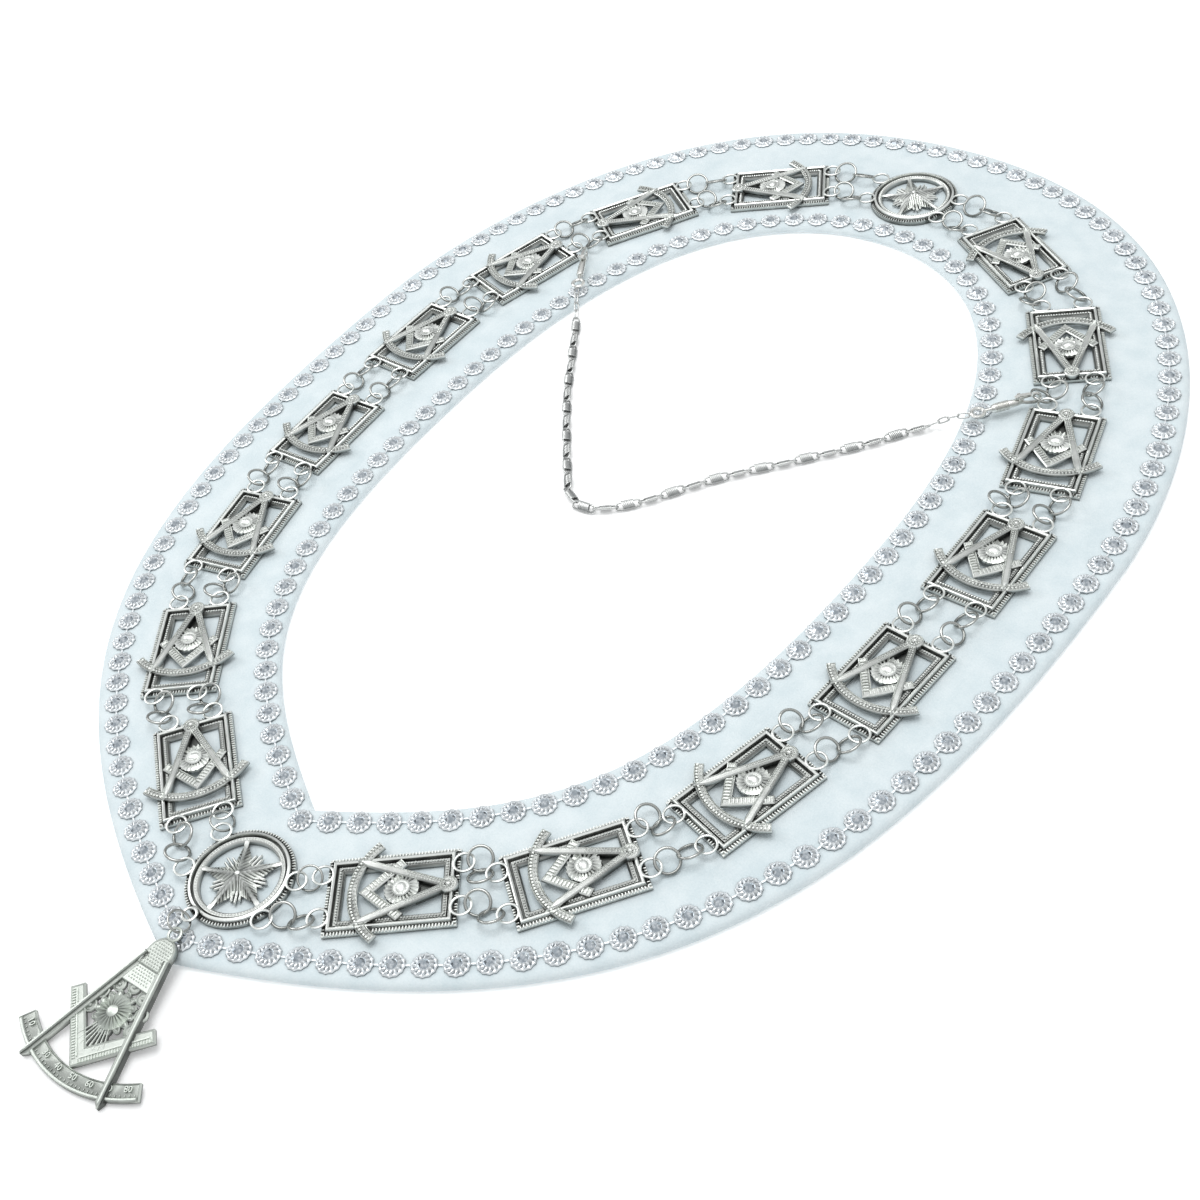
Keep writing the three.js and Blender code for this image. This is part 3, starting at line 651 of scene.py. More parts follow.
def link_arc():
    band = plate(arc_points(ARC["radius"], ARC["wide"], ARC["turn"], ARC["steps"]),
                 ARC["low"], ARC["high"] - ARC["border"][0][1], ARC["border"])
    pieces = [band]
    for mark, model in ((ARC_DASH, block(ARC_DASH["long"], ARC_DASH["wide"], ARC_DASH["high"])),
                        (ARC_STUD, bead(ARC_STUD["radius"]))):
        place = moved(ARC["radius"] + mark["aside"], 0, ARC["high"] - mark["sunk"])
        turns = range(-mark["turn"], mark["turn"] + 1, mark["step"])
        pieces.append(repeated(model, fan_of(180, turns, place)))
    return [at_place(piece, moved(ARC["x"])) for piece in pieces]


def bar_points(start, end, wide, point=0.0):
    """The outline of a straight bar from start to end, its far end pointed over that length."""
    way = (end - start).normalized()
    across = Vector((-way.y, way.x)) * wide / 2
    corners = [start - across, end - way * point - across]
    if point:
        corners.append(end)
    return [(p.x, p.y) for p in (*corners, end - way * point + across, start + across)]


def along_bar(start, end, marks, shift, z):
    """Places for a bar's row of marks, so far to the left of its middle line."""
    way = (end - start).normalized()
    across = Vector((-way.y, way.x)) * shift
    first, last, count = marks["first"], marks["last"], marks["count"]
    places = []
    for i in range(count):
        at = start + way * (first + (last - first) * i / (count - 1)) + across
        places.append(moved(at.x, at.y, z, heading(way)))
    return places


def link_legs():
    pieces, grains = [], []
    head = Vector((LEG["hinge"], 0))
    for side in (1, -1):
        tip = Vector((LEG["tip_x"], LEG["tip_y"] * side))
        pieces.append(plate(bar_points(head, tip, LEG["wide"], LEG["point"]),
                            LEG["low"], LEG["high"], LEG["border"]))
        for shift in (-LEG_GRAIN["aside"], LEG_GRAIN["aside"]):
            grains += along_bar(head, tip, LEG_GRAIN, shift, LEG["high"] + LEG_GRAIN["rise"])
    pieces.append(repeated(bead(LEG_GRAIN["radius"]), grains))
    web = [(LEG_WEB["back"], LEG_WEB["neck"]), (LEG_WEB["front"], LEG_WEB["wide"]),
           (LEG_WEB["front"], -LEG_WEB["wide"]), (LEG_WEB["back"], -LEG_WEB["neck"])]
    pieces.append(plate(web, LEG_WEB["low"], LEG_WEB["high"]))
    return pieces


def link_square():
    corner = Vector((SQUARE["corner"], 0))
    arm = Vector((SQUARE["end_x"] - SQUARE["corner"], SQUARE["end_y"])).normalized()
    inset = SQUARE["wide"] / arm.y
    inner = Vector((arm.y, -arm.x)) * SQUARE["wide"]
    end_x, end_y = SQUARE["end_x"], SQUARE["end_y"]
    points = [
        (corner.x, 0), (end_x, -end_y), (end_x + inner.x, -end_y - inner.y), (corner.x + inset, 0),
        (end_x + inner.x, end_y + inner.y), (end_x, end_y),
    ]
    angle = plate(points, SQUARE["low"], SQUARE["high"] - SQUARE["border"][0][1], SQUARE["border"])
    studs = []
    for side in (1, -1):
        end = Vector((end_x, end_y * side))
        shift = -side * SQUARE["wide"] * SQUARE_STUD["aside"]
        studs += along_bar(corner, end, SQUARE_STUD, shift, SQUARE["high"] - SQUARE_STUD["sunk"])
    stud = block(SQUARE_STUD["long"], SQUARE_STUD["wide"], SQUARE_STUD["high"])
    return [angle, repeated(stud, studs)]


def sun_disc(radius, inner, rays, low, rim, top):
    """A domed disc whose upper face is fluted into rays."""
    count = rays * 2
    disc = plate(ring_of(radius, count), low, rim, [(radius - inner, top - rim), (inner * 0.6, 0.05)])
    for vertex in disc.data.vertices:
        reach = hypot(vertex.co.x, vertex.co.y) / MM
        flute = round(atan2(vertex.co.y, vertex.co.x) / (2 * pi / count)) % 2
        if flute and reach > inner * FLUTE["from"] and vertex.co.z > (low + 0.1) * MM:
            vertex.co.z -= FLUTE["deep"] * MM
            if reach > inner * FLUTE["rim_from"]:
                vertex.co.xy *= FLUTE["drawn_in"]
    return disc


def dome(long, wide, high):
    bpy.ops.object.select_all(action="DESELECT")
    bpy.ops.mesh.primitive_uv_sphere_add(segments=16, ring_count=8, radius=MM, scale=(long, wide, high))
    bpy.ops.object.transform_apply(location=False, rotation=False, scale=True)
    return bpy.context.object


def link_sun():
    disc = sun_disc(SUN["radius"], SUN["inner"], SUN["rays"], SUN["low"], SUN["rim"], SUN["top"])
    cup = plate(ring_of(SUN["inner"] + SUN_CUP["margin"], SUN_CUP["sides"]), SUN["top"] - SUN_CUP["sunk"],
                SUN["top"], SUN_CUP["border"])
    boss = at_place(dome(BOSS["wide"], BOSS["long"], BOSS["high"]), moved(0, 0, SUN["top"]))
    return [at_place(piece, moved(SUN["x"])) for piece in (disc, cup, boss)]


def link_hinge():
    disc = plate(ring_of(HINGE["radius"], HINGE["sides"]), HINGE["low"], HINGE["edge"], HINGE["border"])
    grains = [place for ring in HINGE_GRAINS
              for place in turns_of(ring["count"], moved(ring["reach"], 0, HINGE["grain_z"]))]
    scatter = repeated(bead(HINGE["grain"]), grains)
    pin = at_place(dome(*HINGE["pin"]), moved(0, 0, HINGE["pin_z"]))
    return [at_place(piece, moved(LEG["hinge"])) for piece in (disc, scatter, pin)]


def smooth_by(piece, degrees):
    choose(piece)
    bpy.ops.object.shade_smooth_by_angle(angle=radians(degrees))


def place_copy(master, name, place):
    copy = master.copy()
    copy.data = master.data.copy()
    copy.data.transform(place)
    copy.name = copy.data.name = name
    bpy.context.collection.objects.link(copy)
    return copy


def plated(piece, metal, crease):
    """A piece in one metal, smooth except where its faces meet at more than crease degrees."""
    piece.data.materials.clear()
    piece.data.materials.append(metal)
    smooth_by(piece, crease)


CAST_CREASE = 28
CAST_REACH = 0.95
# Painted shade: the cast links and star links are dark in their hollows and bright on their tops.
cast_silver = bright_metal(
    "cast_silver", dark=(0.13, 0.137, 0.13, 1), bright=(0.97, 0.99, 0.96, 1), rough=0.3)
link_model = join("link_model", *link_frame(), *link_arc(), *link_square(), *link_legs(), *link_sun(),
                  *link_hinge())
mark_painted_shade(link_model, reach=CAST_REACH)
plated(link_model, cast_silver, CAST_CREASE)


def way_of(place):
    return Vector((sin(radians(place["turn"])), cos(radians(place["turn"]))))


for side_name, side in (("right", 1), ("left", -1)):
    for number, place in enumerate(LINK_PLACES, start=1):
        way = way_of(place)
        turn = heading(Vector((way.x * side, way.y))) + (180 if place.get("reversed") else 0)
        link = place_copy(link_model, f"{side_name}_link_{number}_cast",
                          moved(place["x"] * side, place["y"], LINK_BOTTOM, turn))
        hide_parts(f"{side_name}_link_{number}")
        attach(link, "collar")
bpy.data.objects.remove(link_model)


# Star links. One round casting at each end of the chain: a toothed and beaded rim, a five-pointed star
# with ribbed facets that meets the rim, three rays between the arms, and lugs for the rings.
STAR_RIM = {"radius": 20.2, "bar": 5.4, "sides": 96, "low": 1.5, "teeth": 19.5}
STAR_STEPS = [
    {"inset": 1.3, "rise": 0.0}, {"inset": 0.4, "rise": 1.4}, {"inset": 0.9, "rise": 0.35},
    {"inset": 0.25, "rise": -1.8}, {"inset": 0.45, "rise": 0.0}, {"inset": 0.3, "rise": 0.9},
    {"inset": 1.2, "rise": 0.0}, {"inset": 0.6, "rise": -0.5},
]
STAR_BEAD = {"radius": 0.48, "reach": 15.9, "count": 88, "z": 2.3}
STAR_TEETH = {"count": 104, "long": 1.2, "wide": 0.6, "high": 0.7}
STAR_ARM = {"reach": 15.6, "notch": 6.4, "peak": 4.8, "edge": 1.5, "tip": 2.2, "ribs": 9, "cut": 0.5,
            "rows": 3, "thick": 0.9}
STAR_RAY = {"from": 5.6, "long": 5.6, "shorter": 1.1, "wide": 0.95, "gap": 1.5, "point": 0.7,
            "low": 0.7, "high": 1.6, "ridge": [(0.3, 0.4)]}
STAR_BOSS = {"size": (1.0, 1.0, 0.5), "z": 4.65}
STARS = {
    "front": {"y": -202.6, "points": 180, "lugs": [26, -22]},
    "back": {"y": 245.8, "points": 32, "lugs": [-30, 14]},
}
STAR_LUG_RADIUS = 22.0
HANGER = {"turn": 188, "reach": 21.2, "radius": 2.6, "wire": 0.55, "z": 3.5}


def star_rim():
    rims = [(step["inset"], step["rise"]) for step in STAR_STEPS]
    rim = plate(ring_of(STAR_RIM["radius"], STAR_RIM["sides"]), 0, STAR_RIM["low"], rims)
    open_through(rim, STAR_RIM["bar"])
    teeth = repeated(block(STAR_TEETH["long"], STAR_TEETH["wide"], STAR_TEETH["high"]),
                     turns_of(STAR_TEETH["count"], moved(STAR_RIM["teeth"], 0, STAR_RIM["low"])))
    beads = repeated(bead(STAR_BEAD["radius"]),
                     turns_of(STAR_BEAD["count"], moved(STAR_BEAD["reach"], 0, STAR_BEAD["z"])))
    return [rim, teeth, beads]


def half_arm(side):
    """One ribbed facet of an arm along +X, between its ridge and its outer edge on that side."""
    ribs = STAR_ARM["ribs"] * 2
    ridge_start = Vector((0, 0, STAR_ARM["peak"]))
    tip = Vector((STAR_ARM["reach"], 0, STAR_ARM["tip"]))
    turn = radians(36) * side
    notch = Vector((STAR_ARM["notch"] * cos(turn), STAR_ARM["notch"] * sin(turn), STAR_ARM["edge"]))
    bpy.ops.object.select_all(action="DESELECT")
    bpy.ops.mesh.primitive_grid_add(x_subdivisions=ribs, y_subdivisions=STAR_ARM["rows"], size=MM)
    facet = bpy.context.object
    for index, vertex in enumerate(facet.data.vertices):
        row, column = divmod(index, ribs + 1)
        drop = Vector((0, 0, STAR_ARM["cut"] if column % 2 else 0.0))
        on_ridge = ridge_start.lerp(tip, column / ribs)
        on_edge = notch.lerp(tip, column / ribs) - drop
        point = on_ridge.lerp(on_edge, row / STAR_ARM["rows"])
        if 0 < row < STAR_ARM["rows"]:
            point -= drop
        vertex.co = point * MM
    bpy.ops.object.modifier_add(type="SOLIDIFY")
    facet.modifiers[-1].thickness = STAR_ARM["thick"] * MM
    facet.modifiers[-1].offset = -side
    bpy.ops.object.modifier_apply(modifier=facet.modifiers[-1].name)
    return outward(facet)


def star_middle():
    """The star's five arms, the three rays in each notch between them, and the boss on top."""
    arms = repeated(join("star_arms", half_arm(1), half_arm(-1)), turns_of(5))
    rays = []
    for shift in (-1, 0, 1):
        start = Vector((STAR_RAY["from"], shift * STAR_RAY["gap"]))
        end = start + Vector((STAR_RAY["long"] - abs(shift) * STAR_RAY["shorter"], 0))
        rays.append(plate(bar_points(start, end, STAR_RAY["wide"], STAR_RAY["point"]),
                          STAR_RAY["low"], STAR_RAY["high"], STAR_RAY["ridge"]))
    bundles = repeated(join("star_rays", *rays), turns_of(5, moved(turn=36)))
    return [arms, bundles, at_place(dome(*STAR_BOSS["size"]), moved(0, 0, STAR_BOSS["z"]))]


def star_lugs(star):
    return [Vector((STAR_LUG_RADIUS * cos(radians(turn)), star["y"] + STAR_LUG_RADIUS * sin(radians(turn))))
            for turn in star["lugs"]]


for star_name, star in STARS.items():
    middle = star_middle()
    for piece in middle:
        piece.data.transform(Matrix.Rotation(radians(90 - star["points"]), 4, "Z"))
    lugs = repeated(hoop(LUG["radius"], LUG["wire"]), [
        moved(at.x * side, at.y - star["y"], LUG["z"]) for at in star_lugs(star) for side in (1, -1)])
    pieces = [*star_rim(), *middle, lugs]
    if star_name == "front":
        turn = radians(90 - HANGER["turn"])
        pieces.append(at_place(hoop(HANGER["radius"], HANGER["wire"]), moved(
            HANGER["reach"] * cos(turn), HANGER["reach"] * sin(turn), HANGER["z"])))
    star_link = join(f"{star_name}_star_cast", *pieces)
    # Painted shade in the hollows of the star link.
    mark_painted_shade(star_link, reach=CAST_REACH)
    star_link.data.transform(moved(0, star["y"], LINK_BOTTOM))
    plated(star_link, cast_silver, CAST_CREASE)
    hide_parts(f"{star_name}_star_link")
    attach(star_link, "collar")


# Jump rings. Butted rings of drawn wire, two in a string between the lugs of neighbouring links, each
# lying at a slant through its lug and through the other ring.
RING = {"radius": 4.4, "wire": 0.45, "roll": 28, "hold": 5.8, "hook": 0.3, "z": 6.8, "grip": 1.7,
        "slack": 1.08, "roll_growth": 6, "fullness": 1.3, "around": 36, "section": 10, "crease": 60}
SETTLING_STEPS = 40
LINK_HALF = LINK["long"] / 2 + 1.5
CLOSE_LUGS = 11


def ring_pair(start, end):
    """Two rings hooked into each other between two lugs, larger where the gap is long."""
    span = (end - start).length
    reached = span / 2 - LUG["radius"] + LUG["wire"] + RING["slack"]
    radius = max(RING["radius"], reached / 2 + RING["wire"] / 2)
    roll = radians(RING["roll"] + (radius - RING["radius"]) * RING["roll_growth"])
    narrow = radius * cos(roll)
    hold = RING["hold"] + radius - RING["radius"]

    def hook_reach(turn):
        return 1 / hypot(cos(turn) / (radius - RING["hook"]), sin(turn) / (narrow - RING["hook"]))

    turn = 0.0
    for _ in range(SETTLING_STEPS):
        reach = hook_reach(turn)
        cosine = (span * span / 4 - hold * hold - reach * reach) / (2 * hold * reach)
        turn = acos(max(-1.0, min(1.0, cosine)))
    reach = hook_reach(turn)
    if turn == 0:
        hold = span / 2 - reach
    swing = asin(max(-1.0, min(1.0, reach * sin(turn) / (span / 2))))
    line = atan2((end - start).y, (end - start).x)
    rings = []
    for at, way in ((start, line), (end, line + pi)):
        ring = hoop(radius, RING["wire"] * RING["fullness"], RING["around"], RING["section"])
        rings.append(at_place(ring, moved(at.x, at.y, RING["z"], (way + swing) * 180 / pi) @ moved(hold)
                              @ Matrix.Rotation(roll, 4, "X")))
    return rings


def link_lugs(place, end):
    """A link's inner and outer lug at one end, end being 1 towards the back of the neck."""
    way = way_of(place)
    aside = Vector((way.y, -way.x))
    middle = Vector((place["x"], place["y"])) + way * end * LINK_HALF
    return [middle - aside * LUG["y"], middle + aside * LUG["y"]]


def finish_rings(name, rings, *nodes):
    piece = join(name, *rings)
    plated(piece, ring_wire, RING["crease"])
    if nodes:
        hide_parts(*nodes)
    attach(piece, "collar")


def mirrored(start, end):
    return Vector((-end.x, end.y)), Vector((-start.x, start.y))


# Painted shade: the rings are darker lower down and lighter higher up.
ring_wire = bright_metal(
    "ring_wire", dark=(0.22, 0.23, 0.22, 1), bright=(0.56, 0.57, 0.55, 1), shade_heights=(4.5, 8.5), rough=0.2,
    grain=0.002, cast=0.04)
for number in range(1, len(LINK_PLACES)):
    here, beyond = LINK_PLACES[number - 1], LINK_PLACES[number]
    for row_name, start, end in zip(("inner", "outer"), link_lugs(here, 1), link_lugs(beyond, -1)):
        string = f"{row_name}_rings_{number}_{number + 1}"
        finish_rings(f"right_{string}_wire", ring_pair(start, end), f"right_{string}")
        finish_rings(f"left_{string}_wire", ring_pair(*mirrored(start, end)), f"left_{string}")
for star_name, place, end in (("front", LINK_PLACES[0], -1), ("back", LINK_PLACES[-1], 1)):
    star = STARS[star_name]
    for row_name, start, finish_at in zip(("inner", "outer"), star_lugs(star), link_lugs(place, end)):
        for side_name, side in (("right", 1), ("left", -1)):
            near = Vector((start.x * side, start.y))
            far = Vector((finish_at.x * side, finish_at.y))
            name = f"{side_name}_{row_name}_rings_{star_name}_wire"
            if (far - near).length < CLOSE_LUGS:
                way = far - near
                mid = near.lerp(far, 0.5)
                single = hoop(RING["radius"], RING["wire"], RING["around"], RING["section"])
                single.data.transform(moved(mid.x, mid.y, RING["z"], heading(way))
                                      @ Matrix.Rotation(radians(RING["roll"]), 4, "X"))
                finish_rings(name, [single], f"{side_name}_{row_name}_ring_{star_name}")
            else:
                grip = near + (far - near).normalized() * RING["grip"]
                finish_rings(name, ring_pair(grip, far))


# Jewel. A flat plated casting that hangs from the front star: compasses open over a square and a
# quadrant with a plain scale, a sun with flames between the legs, and a bail soldered on the head.
JEWEL = {"x": 0.3, "y": -240.3, "z": 5.7, "turn": 3, "tilt": 6.1}
JEWEL_ARC = {"outer": 51.6, "inner": 45.3, "turn": 36, "high": 1.8, "steps": 30,
             "border": [(0.35, 0.3), (0.3, -0.35)]}
JEWEL_ARC_RIM = {"reach": 50.8, "wide": 1.3, "turn": 35.2, "low": 0.9, "border": [(0.35, 0.35)]}
JEWEL_TICK = {"reach": 49.6, "long": 0.9, "wide": 0.28, "high": 0.35, "z": 1.4, "turn": 34, "step": 2}
SCALE_NUMBERS = ["10", "20", "30", "40", "50", "60", "70", "80"]
NUMBER = {"size": 3.1, "deep": 0.3, "reach": 47.4, "z": 1.7, "turn": 31}
JEWEL_HEAD = {"wide": 5.6, "top": 6.3, "edge": 2.2, "low_y": -6, "border": [(0.45, 0.4), (0.4, -0.3)]}
JEWEL_WEB = {"top": 4.6, "top_y": 3, "foot": 8.6, "foot_y": -13, "edge": 1.9, "border": [(0.3, 0.2)]}
JEWEL_LEG = {"top": 4.2, "top_y": -1, "tip_x": 19.2, "tip_y": -51.0, "wide": 3.0, "point": 2.2, "edge": 2.1,
             "border": [(0.3, 0.2)]}
JEWEL_RIDGE = {"top": 0.75, "tip": 0.3, "wide": 1.3, "point": 2.4, "low": 1.4, "edge": 2.8,
               "border": [(0.35, 0.45)]}
GRAIN = {"radius": 0.38, "rows": 15, "first_y": 4.4, "row": 1.12, "half": 3.0, "widening": 0.32,
         "inset": 1.4, "pitch": 1.05, "head_z": 2.25, "web_z": 2.05, "head_y": -5.2}
JEWEL_SQUARE = {"corner": -45.6, "arm": 30.0, "wide": 5.9, "edge": 1.6,
                "border": [(0.4, 0.35), (0.4, -0.3)]}
SQUARE_TICK = {"first": 3.0, "last": 28.5, "count": 26, "aside": 1.35, "z": 1.6, "long": 0.4, "wide": 1.5,
               "high": 0.4}
SQUARE_LINE = {"first": 3.4, "last": 28.4, "aside": 2.5, "wide": 0.45, "low": 1.2, "high": 2.0}
JEWEL_SUN = {"y": -23.5, "radius": 6.6, "inner": 3.0, "rays": 20, "low": 0.6, "rim": 2.2, "top": 2.9}
JEWEL_BOSS = {"size": (2.3, 2.3, 0.8), "z": 2.7}
FLAMES = {"count": 14, "reach": 8.2, "fullness": 0.7, "low": 0.2, "edge": 1.4,
          "border": [(0.4, 0.35), (0.35, -0.25)]}
CURL = {"radius": 2.6, "sides": 14, "reach": 10.3, "low": 0.2, "edge": 1.4,
        "border": [(0.4, 0.3), (0.5, -0.5)], "bead": 0.9, "bead_z": 1.1, "turns": range(-12, 193, 34)}
JEWEL_RAY = {"from": 6.0, "to": 14.5, "wide": 0.7, "point": 0.6, "low": 0.4, "edge": 1.5,
             "border": [(0.2, 0.25)], "turns": range(-28, 29, 8)}
JEWEL_BAIL = {"y": 8.2, "radius": 2.4, "wire": 0.55, "z": 2.3}
JEWEL_RING = {"x": -2.8, "y": -228.0, "z": 9.0, "radius": 4.1, "wire": 0.45, "turn": 31, "roll": 45,
              "rise": 1.5}


def jewel_quadrant():
    middle = (JEWEL_ARC["outer"] + JEWEL_ARC["inner"]) / 2
    wide = JEWEL_ARC["outer"] - JEWEL_ARC["inner"]
    band = plate(arc_points(middle, wide, JEWEL_ARC["turn"], JEWEL_ARC["steps"], -pi / 2),
                 0, JEWEL_ARC["high"] - JEWEL_ARC["border"][0][1], JEWEL_ARC["border"])
    rim_line = arc_points(JEWEL_ARC_RIM["reach"], JEWEL_ARC_RIM["wide"], JEWEL_ARC_RIM["turn"],
                          JEWEL_ARC["steps"], -pi / 2)
    rim = plate(rim_line, JEWEL_ARC_RIM["low"], JEWEL_ARC["high"], JEWEL_ARC_RIM["border"])
    ticks = repeated(
        block(JEWEL_TICK["long"], JEWEL_TICK["wide"], JEWEL_TICK["high"]),
        fan_of(-90, range(-JEWEL_TICK["turn"], JEWEL_TICK["turn"] + 1, JEWEL_TICK["step"]),
               moved(JEWEL_TICK["reach"], 0, JEWEL_TICK["z"])))
    pieces = [band, rim, ticks]
    for i, number in enumerate(SCALE_NUMBERS):
        a = NUMBER["turn"] * (2 * i / (len(SCALE_NUMBERS) - 1) - 1)
        bpy.ops.object.select_all(action="DESELECT")
        bpy.ops.object.text_add()
        figure = bpy.context.object
        figure.data.body = number
        figure.data.size = NUMBER["size"] * MM
        figure.data.align_x = "CENTER"
        figure.data.align_y = "CENTER"
        figure.data.extrude = NUMBER["deep"] * MM
        figure.data.resolution_u = 2
        bpy.ops.object.convert(target="MESH")
        figure = bpy.context.object
        figure.data.transform(moved(turn=a) @ moved(0, -NUMBER["reach"], NUMBER["z"]))
        pieces.append(figure)
    return pieces


def jewel_compasses():
    """The compasses' legs and web, and the head with its grains, which are sunk in rows."""
    pieces, grains = [], []
    web = [(-JEWEL_WEB["top"], JEWEL_WEB["top_y"]), (JEWEL_WEB["top"], JEWEL_WEB["top_y"]),
           (JEWEL_WEB["foot"], JEWEL_WEB["foot_y"]), (-JEWEL_WEB["foot"], JEWEL_WEB["foot_y"])]
    pieces.append(plate(web, 0, JEWEL_WEB["edge"], JEWEL_WEB["border"]))
    for side in (1, -1):
        start = Vector((JEWEL_LEG["top"] * side, JEWEL_LEG["top_y"]))
        end = Vector((JEWEL_LEG["tip_x"] * side, JEWEL_LEG["tip_y"]))
        pieces.append(plate(bar_points(start, end, JEWEL_LEG["wide"], JEWEL_LEG["point"]),
                            0, JEWEL_LEG["edge"], JEWEL_LEG["border"]))
        ridge_start = start + Vector((JEWEL_RIDGE["top"] * side, 0))
        ridge_end = end + Vector((JEWEL_RIDGE["tip"] * side, 0))
        pieces.append(plate(bar_points(ridge_start, ridge_end, JEWEL_RIDGE["wide"], JEWEL_RIDGE["point"]),
                            JEWEL_RIDGE["low"], JEWEL_RIDGE["edge"], JEWEL_RIDGE["border"]))
    head = [(JEWEL_HEAD["wide"] * cos(pi * i / 16), JEWEL_HEAD["top"] * sin(pi * i / 16)) for i in range(17)]
    head += [(-JEWEL_HEAD["wide"], JEWEL_HEAD["low_y"]), (JEWEL_HEAD["wide"], JEWEL_HEAD["low_y"])]
    pieces.append(plate(head, 0, JEWEL_HEAD["edge"], JEWEL_HEAD["border"]))
    for row in range(GRAIN["rows"]):
        y = GRAIN["first_y"] - row * GRAIN["row"]
        half = min(JEWEL_HEAD["wide"] - GRAIN["inset"],
                   GRAIN["half"] + (GRAIN["first_y"] - y) * GRAIN["widening"])
        count = int(half * 2 / GRAIN["pitch"])
        z = GRAIN["head_z"] if y > GRAIN["head_y"] else GRAIN["web_z"]
        grains += [moved(-half + (i + 0.5 * (row % 2)) * 2 * half / count, y, z)
                   for i in range(count + 1 - row % 2)]
    pieces.append(repeated(bead(GRAIN["radius"]), grains))
    return pieces


def jewel_square():
    slant = sqrt(0.5)
    end = JEWEL_SQUARE["arm"] * slant
    cut = JEWEL_SQUARE["wide"] * slant
    y = JEWEL_SQUARE["corner"]
    points = [
        (0, y), (end, y + end), (end - cut * 0.45, y + end + cut * 0.45),
        (end - cut * 0.9, y + end + cut * 0.9),
        (0, y + JEWEL_SQUARE["wide"] * sqrt(2)),
        (-end + cut * 0.9, y + end + cut * 0.9), (-end + cut * 0.45, y + end + cut * 0.45), (-end, y + end),
    ]
    angle = plate(points, 0, JEWEL_SQUARE["edge"], JEWEL_SQUARE["border"])
    ticks, lines = [], []
    corner = Vector((0, y))
    for side in (1, -1):
        arm_end = Vector((end * side, y + end))
        ticks += along_bar(corner, arm_end, SQUARE_TICK, SQUARE_TICK["aside"] * side, SQUARE_TICK["z"])
        way = (arm_end - corner).normalized()
        across = Vector((-way.y, way.x)) * SQUARE_LINE["aside"] * side
        line = bar_points(corner + way * SQUARE_LINE["first"] + across,
                          corner + way * SQUARE_LINE["last"] + across, SQUARE_LINE["wide"])
        lines.append(plate(line, SQUARE_LINE["low"], SQUARE_LINE["high"]))
    tick = block(SQUARE_TICK["long"], SQUARE_TICK["wide"], SQUARE_TICK["high"])
    return [angle, repeated(tick, ticks), *lines]


def jewel_sun():
    """The sun disc in a ring of flames, with curls over and beside it and rays below."""
    count = FLAMES["count"] * 6
    points = []
    for i in range(count):
        a = 2 * pi * i / count
        lobe = abs(sin(a * FLAMES["count"] / 2)) ** FLAMES["fullness"]
        reach = JEWEL_SUN["radius"] + (FLAMES["reach"] - JEWEL_SUN["radius"]) * lobe
        points.append((reach * cos(a), reach * sin(a)))
    flames = plate(points, FLAMES["low"], FLAMES["edge"], FLAMES["border"])
    disc = sun_disc(*(JEWEL_SUN[key] for key in ("radius", "inner", "rays", "low", "rim", "top")))
    boss = at_place(dome(*JEWEL_BOSS["size"]), moved(0, 0, JEWEL_BOSS["z"]))
    curl = join("curl",
                plate(ring_of(CURL["radius"], CURL["sides"]), CURL["low"], CURL["edge"], CURL["border"]),
                at_place(bead(CURL["bead"]), moved(0, 0, CURL["bead_z"])))
    curls = repeated(curl, fan_of(0, CURL["turns"], moved(CURL["reach"])))
    ray = plate(bar_points(Vector((JEWEL_RAY["from"], 0)), Vector((JEWEL_RAY["to"], 0)), JEWEL_RAY["wide"],
                           JEWEL_RAY["point"]), JEWEL_RAY["low"], JEWEL_RAY["edge"], JEWEL_RAY["border"])
    rays = repeated(ray, fan_of(-90, JEWEL_RAY["turns"]))
    return [at_place(piece, moved(0, JEWEL_SUN["y"])) for piece in (flames, disc, boss, curls, rays)]


# Painted shade: the jewel is dark in its hollows and pale on its raised parts.
jewel_silver = bright_metal(
    "jewel_silver", dark=(0.11, 0.117, 0.11, 1), bright=(0.72, 0.76, 0.71, 1), rough=0.36, grain=0.0006,
    cast=0.2)
bail = at_place(hoop(JEWEL_BAIL["radius"], JEWEL_BAIL["wire"]), moved(0, JEWEL_BAIL["y"], JEWEL_BAIL["z"]))
jewel = join("jewel_cast", *jewel_quadrant(), *jewel_square(), *jewel_compasses(), *jewel_sun(), bail)
mark_painted_shade(jewel, reach=1.1, depth=0.9)
jewel.data.transform(moved(JEWEL["x"], JEWEL["y"], JEWEL["z"], JEWEL["turn"])
                     @ Matrix.Rotation(radians(JEWEL["tilt"]), 4, "X"))
plated(jewel, jewel_silver, CAST_CREASE)
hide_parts("jewel")
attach(jewel, "collar")
finish_rings("jewel_ring_wire", [at_place(
    hoop(JEWEL_RING["radius"], JEWEL_RING["wire"], RING["around"], RING["section"]),
    moved(JEWEL_RING["x"], JEWEL_RING["y"], JEWEL_RING["z"], JEWEL_RING["turn"])
    @ Matrix.Rotation(radians(-JEWEL_RING["rise"]), 4, "X")
    @ Matrix.Rotation(radians(JEWEL_RING["roll"]), 4, "Y"),
)], "jewel_ring")


